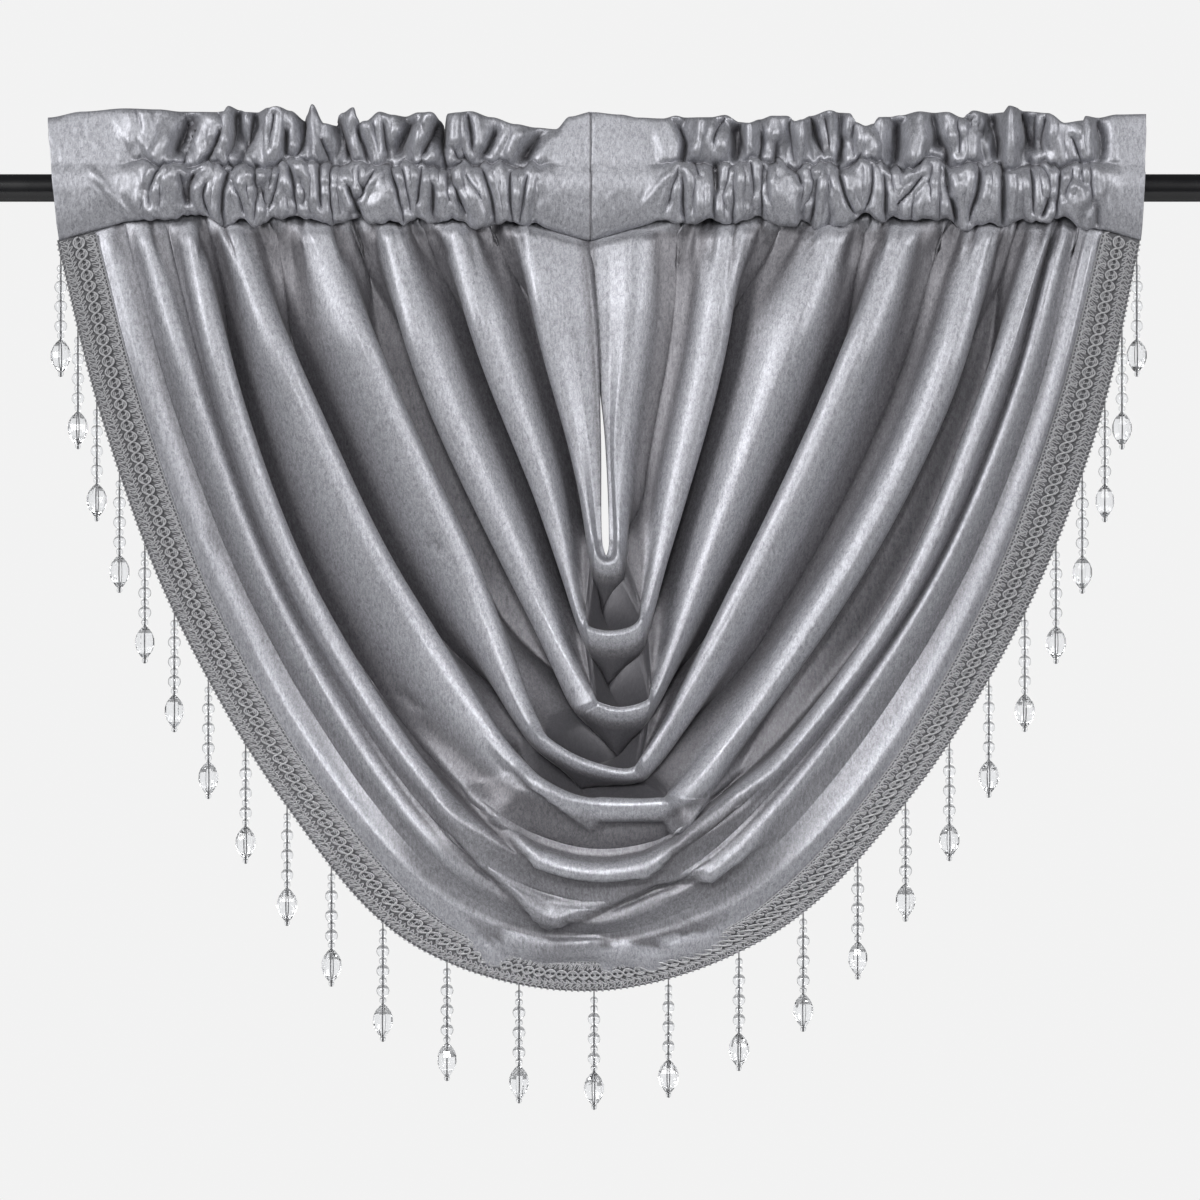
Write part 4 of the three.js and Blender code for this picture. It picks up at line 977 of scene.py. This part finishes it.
class BraidPath:
    """Places on the braid by length along it, share of its width and height, in millimetres."""

    def __init__(self):
        stations = np.linspace(0, 2 * TIP, 2400)
        self.inner = fold_line(FOLD_LINES[-2], stations)
        self.outer = fold_line(FOLD_LINES[-1], stations)
        middle = (self.inner + self.outer) / 2
        self.reach = lengths_along(middle)
        normal = np.cross(self.outer - self.inner, np.gradient(middle, axis=0))
        self.normal = normal / np.linalg.norm(normal, axis=1, keepdims=True)
        self.length = self.reach[-1]

    def at(self, along, across, height):
        def sample(table):
            return np.stack([np.interp(along, self.reach, table[:, k]) for k in range(3)], axis=-1)

        inner, outer, normal = sample(self.inner), sample(self.outer), sample(self.normal)
        spot = inner + (outer - inner) * np.asarray(across)[..., None]
        return spot + normal * np.asarray(height)[..., None], normal


def tube_arrays(points, normals, radius, sides):
    """Vertices and faces of one closed cord along the points."""
    along = np.gradient(points, axis=0)
    along /= np.linalg.norm(along, axis=1, keepdims=True)
    side = np.cross(normals, along)
    side /= np.linalg.norm(side, axis=1, keepdims=True)
    up = np.cross(along, side)
    turn = np.arange(sides) * 2 * np.pi / sides
    ring = np.cos(turn)[None, :, None] * side[:, None, :] + np.sin(turn)[None, :, None] * up[:, None, :]
    vertices = (points[:, None, :] + radius * ring).reshape(-1, 3)
    count = len(points)
    first = np.arange((count - 1) * sides).reshape(count - 1, sides)
    beside = np.roll(first, -1, axis=1)
    quads = np.stack([first, beside, beside + sides, first + sides], axis=2).reshape(-1, 4)
    caps = [list(range(sides))[::-1], list(range((count - 1) * sides, count * sides))]
    return vertices, quads.tolist() + caps


def lathe_arrays(profile, sides, foot, turn=0.0):
    """Closed turned bead: profile of distance down and radius, hung below the foot point."""
    angles = turn + np.arange(sides) * 2 * np.pi / sides
    rings = [np.column_stack([foot[0] + r * np.cos(angles), foot[1] + r * np.sin(angles),
                              np.full(sides, foot[2] - down)]) for down, r in profile]
    faces = []
    for k in range(len(profile) - 1):
        for i in range(sides):
            a, b = k * sides + i, k * sides + (i + 1) % sides
            faces.append([a, a + sides, b + sides, b])
    last = (len(profile) - 1) * sides
    faces += [list(range(sides)), [last + i for i in range(sides)][::-1]]
    return np.concatenate(rings), faces


def joined_piece(name, parts, material, smooth=True):
    """One piece from many vertex and face arrays."""
    vertices, faces, shift = [], [], 0
    for part_vertices, part_faces in parts:
        vertices.append(part_vertices)
        faces += [[i + shift for i in face] for face in part_faces]
        shift += len(part_vertices)
    mesh = bpy.data.meshes.new(name)
    mesh.from_pydata((np.concatenate(vertices) * MM).tolist(), [], faces)
    mesh.update()
    piece = add_piece(name, mesh, material, smooth)
    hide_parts("bead_trim")
    return piece


def braid_ground(path, yarn):
    """Knitted ground of the braid, sunk under the chain and ribbed beside it."""
    along = np.linspace(0.3, path.length - 0.3, 800)
    across = np.linspace(0.03, 1.03, 21)
    s, t = np.meshgrid(along, across, indexing="ij")
    outer_zone = ease((t - CHAIN_MIDDLE - CHAIN_HALF) / 0.05)
    chain_zone = 1 - ease((np.abs(t - CHAIN_MIDDLE) - CHAIN_HALF) / 0.05)
    knit = np.sin(2 * np.pi * (s / 3.6 + 1.5 * t)) * np.sin(2 * np.pi * (t * 7.5 - s / 9))
    height = 1.3 + 0.45 * outer_zone + 0.22 * knit * (1 - chain_zone) - 0.15 * chain_zone
    grid, normals = path.at(s, t, height)
    mesh = sheet_mesh("braid_ground", grid, normals, 0.9, (across * BRAID_WIDTH * MM, along * MM))
    piece = add_piece("braid_ground", mesh, yarn)
    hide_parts("bead_trim")
    return piece


def braid_cord(path, across, height, radius, period, points, sides=5, swing=0.0, slant=0.0,
               sharp=1.0):
    """Cord waving along the braid. across and height hold the middle and the half of the wave."""
    phase = np.arange(0, 2 * np.pi * (path.length - 2 * BRAID_END) / period, 2 * np.pi / points)
    wave = np.sin(phase)
    wave = np.sign(wave) * np.abs(wave) ** sharp
    s = BRAID_END + phase * period / (2 * np.pi) + swing * np.cos(phase) + slant * wave
    rise = height[0] + height[1] * np.cos(phase)
    spots, normals = path.at(s, across[0] + across[1] * wave, rise)
    return tube_arrays(spots, normals, radius, sides)


def braid_knots(path):
    """Small crossed stitches in the eyes of the chain."""
    parts = []
    for k in range(int((path.length - 2 * BRAID_END) / OVAL_PITCH)):
        middle = BRAID_END + (k + 0.5) * OVAL_PITCH
        for along, across in EYE_STITCHES:
            spots, normals = path.at(
                middle + np.linspace(*along, 4), CHAIN_MIDDLE + np.linspace(*across, 4),
                2.1 + np.array([0, 0.35, 0.35, 0]))
            parts.append(tube_arrays(spots, normals, 0.52, 4))
    return parts


def drop_points(path):
    """Places of the drops, evenly spaced along the braid's outer edge."""
    along = np.linspace(0, path.length, 2000)
    edge, _ = path.at(along, 0 * along + DROP_ACROSS, 0 * along + 1.9)
    lengths = lengths_along(edge)
    start = (lengths[-1] - (DROP_COUNT - 1) * DROP_PITCH) / 2
    wanted = start + DROP_PITCH * np.arange(DROP_COUNT)
    return np.column_stack([np.interp(wanted, lengths, edge[:, k]) for k in range(3)])


def build_braid(ground, yarn, glossy):
    path = BraidPath()
    braid_ground(path, ground)
    chain = []
    for side in (1, -1):
        for half, rise, radius in CHAIN_CORDS:
            chain.append(braid_cord(path, (CHAIN_MIDDLE, side * half), (rise, side * 0.6), radius,
                                    2 * OVAL_PITCH, 22, 6, sharp=0.72))
    joined_piece("braid_chain", chain, glossy)
    joined_piece("braid_eye_stitches", braid_knots(path), yarn)
    inner = [
        braid_cord(path, (0.19, 0.1), (2.0, 0.35), 0.62, OVAL_PITCH, 18, swing=2.7),
        braid_cord(path, (0.12, 0.05), (1.9, 0.3), 0.5, OVAL_PITCH / 2, 12, swing=1.4),
        braid_cord(path, (0.03, 0.03), (1.7, 0.25), 0.42, 3.1, 9, 4, swing=0.95),
        braid_cord(path, (0.2, 0.11), (1.9, 0.3), 0.42, 3.9, 8, 4, slant=-1.7),
    ]
    joined_piece("braid_inner_loops", inner, yarn)
    outer = [
        braid_cord(path, (0.74, 0.075), (2.4, 0.3), 0.52, 4.1, 8, 4, slant=1.5),
        braid_cord(path, (0.89, 0.08), (2.3, 0.3), 0.52, 4.5, 8, 4, slant=-1.6),
        braid_cord(path, (0.815, 0.06), (2.6, 0.3), 0.5, 6.3, 10, 4, swing=1.9),
        braid_cord(path, (1.0, 0.06), (1.9, 0.3), 0.5, 4.2, 10, 4, swing=1.5),
    ]
    joined_piece("braid_outer_knit", outer, yarn)
    return path


def build_drops(path, thread, clear):
    feet = drop_points(path)
    threads, rounds, ovals = [], [], []
    for k, foot in enumerate(feet):
        turn = 2.4 * k
        spots = foot[None, :] - np.outer(THREAD_KNOTS, (0, 0, 1))
        spots[0, 1] += 0.6
        facing = np.tile((0.0, -1.0, 0.0), (len(THREAD_KNOTS), 1))
        threads.append(tube_arrays(spots, facing, 0.55, 6))
        for middle, radius in ROUND_BEADS:
            rings = [(middle - radius * math.cos(a), radius * math.sin(a))
                     for a in np.linspace(0.22, math.pi - 0.22, 7)]
            rounds.append(lathe_arrays(rings, 10, foot, turn))
        ovals.append(lathe_arrays(OVAL_BEAD, 8, foot, turn * 0.7))
    joined_piece("bead_threads", threads, thread)
    joined_piece("round_beads", rounds, clear)
    joined_piece("cut_oval_beads", ovals, clear, smooth=False)


place_camera()
light_the_studio()
lay_floor()
satin = satin_material()
swag = build_swag(satin)
heading_left = build_band("heading_left", LEFT_BAND, LEFT_GATHERS, LEFT_CREASES, 3.0, satin)
heading_right = build_band("heading_right", RIGHT_BAND, RIGHT_GATHERS, RIGHT_CREASES, 11.0, satin)
build_rod(rod_material())
ground = thread_material("knitted braid ground", (0.03, 0.03, 0.034), (0.16, 0.16, 0.17), 0.6, 1500.0)
yarn = thread_material("silver braid yarn", (0.2, 0.2, 0.21), (0.56, 0.56, 0.58), 0.5, 2600.0)
glossy = thread_material("glossy chain cord", (0.22, 0.22, 0.23), (0.56, 0.56, 0.58), 0.34, 1800.0)
thread = thread_material("bead thread", (0.1, 0.1, 0.105), (0.2, 0.2, 0.21), 0.6, 3000.0)
braid = build_braid(ground, yarn, glossy)
build_drops(braid, thread, clear_bead_material())
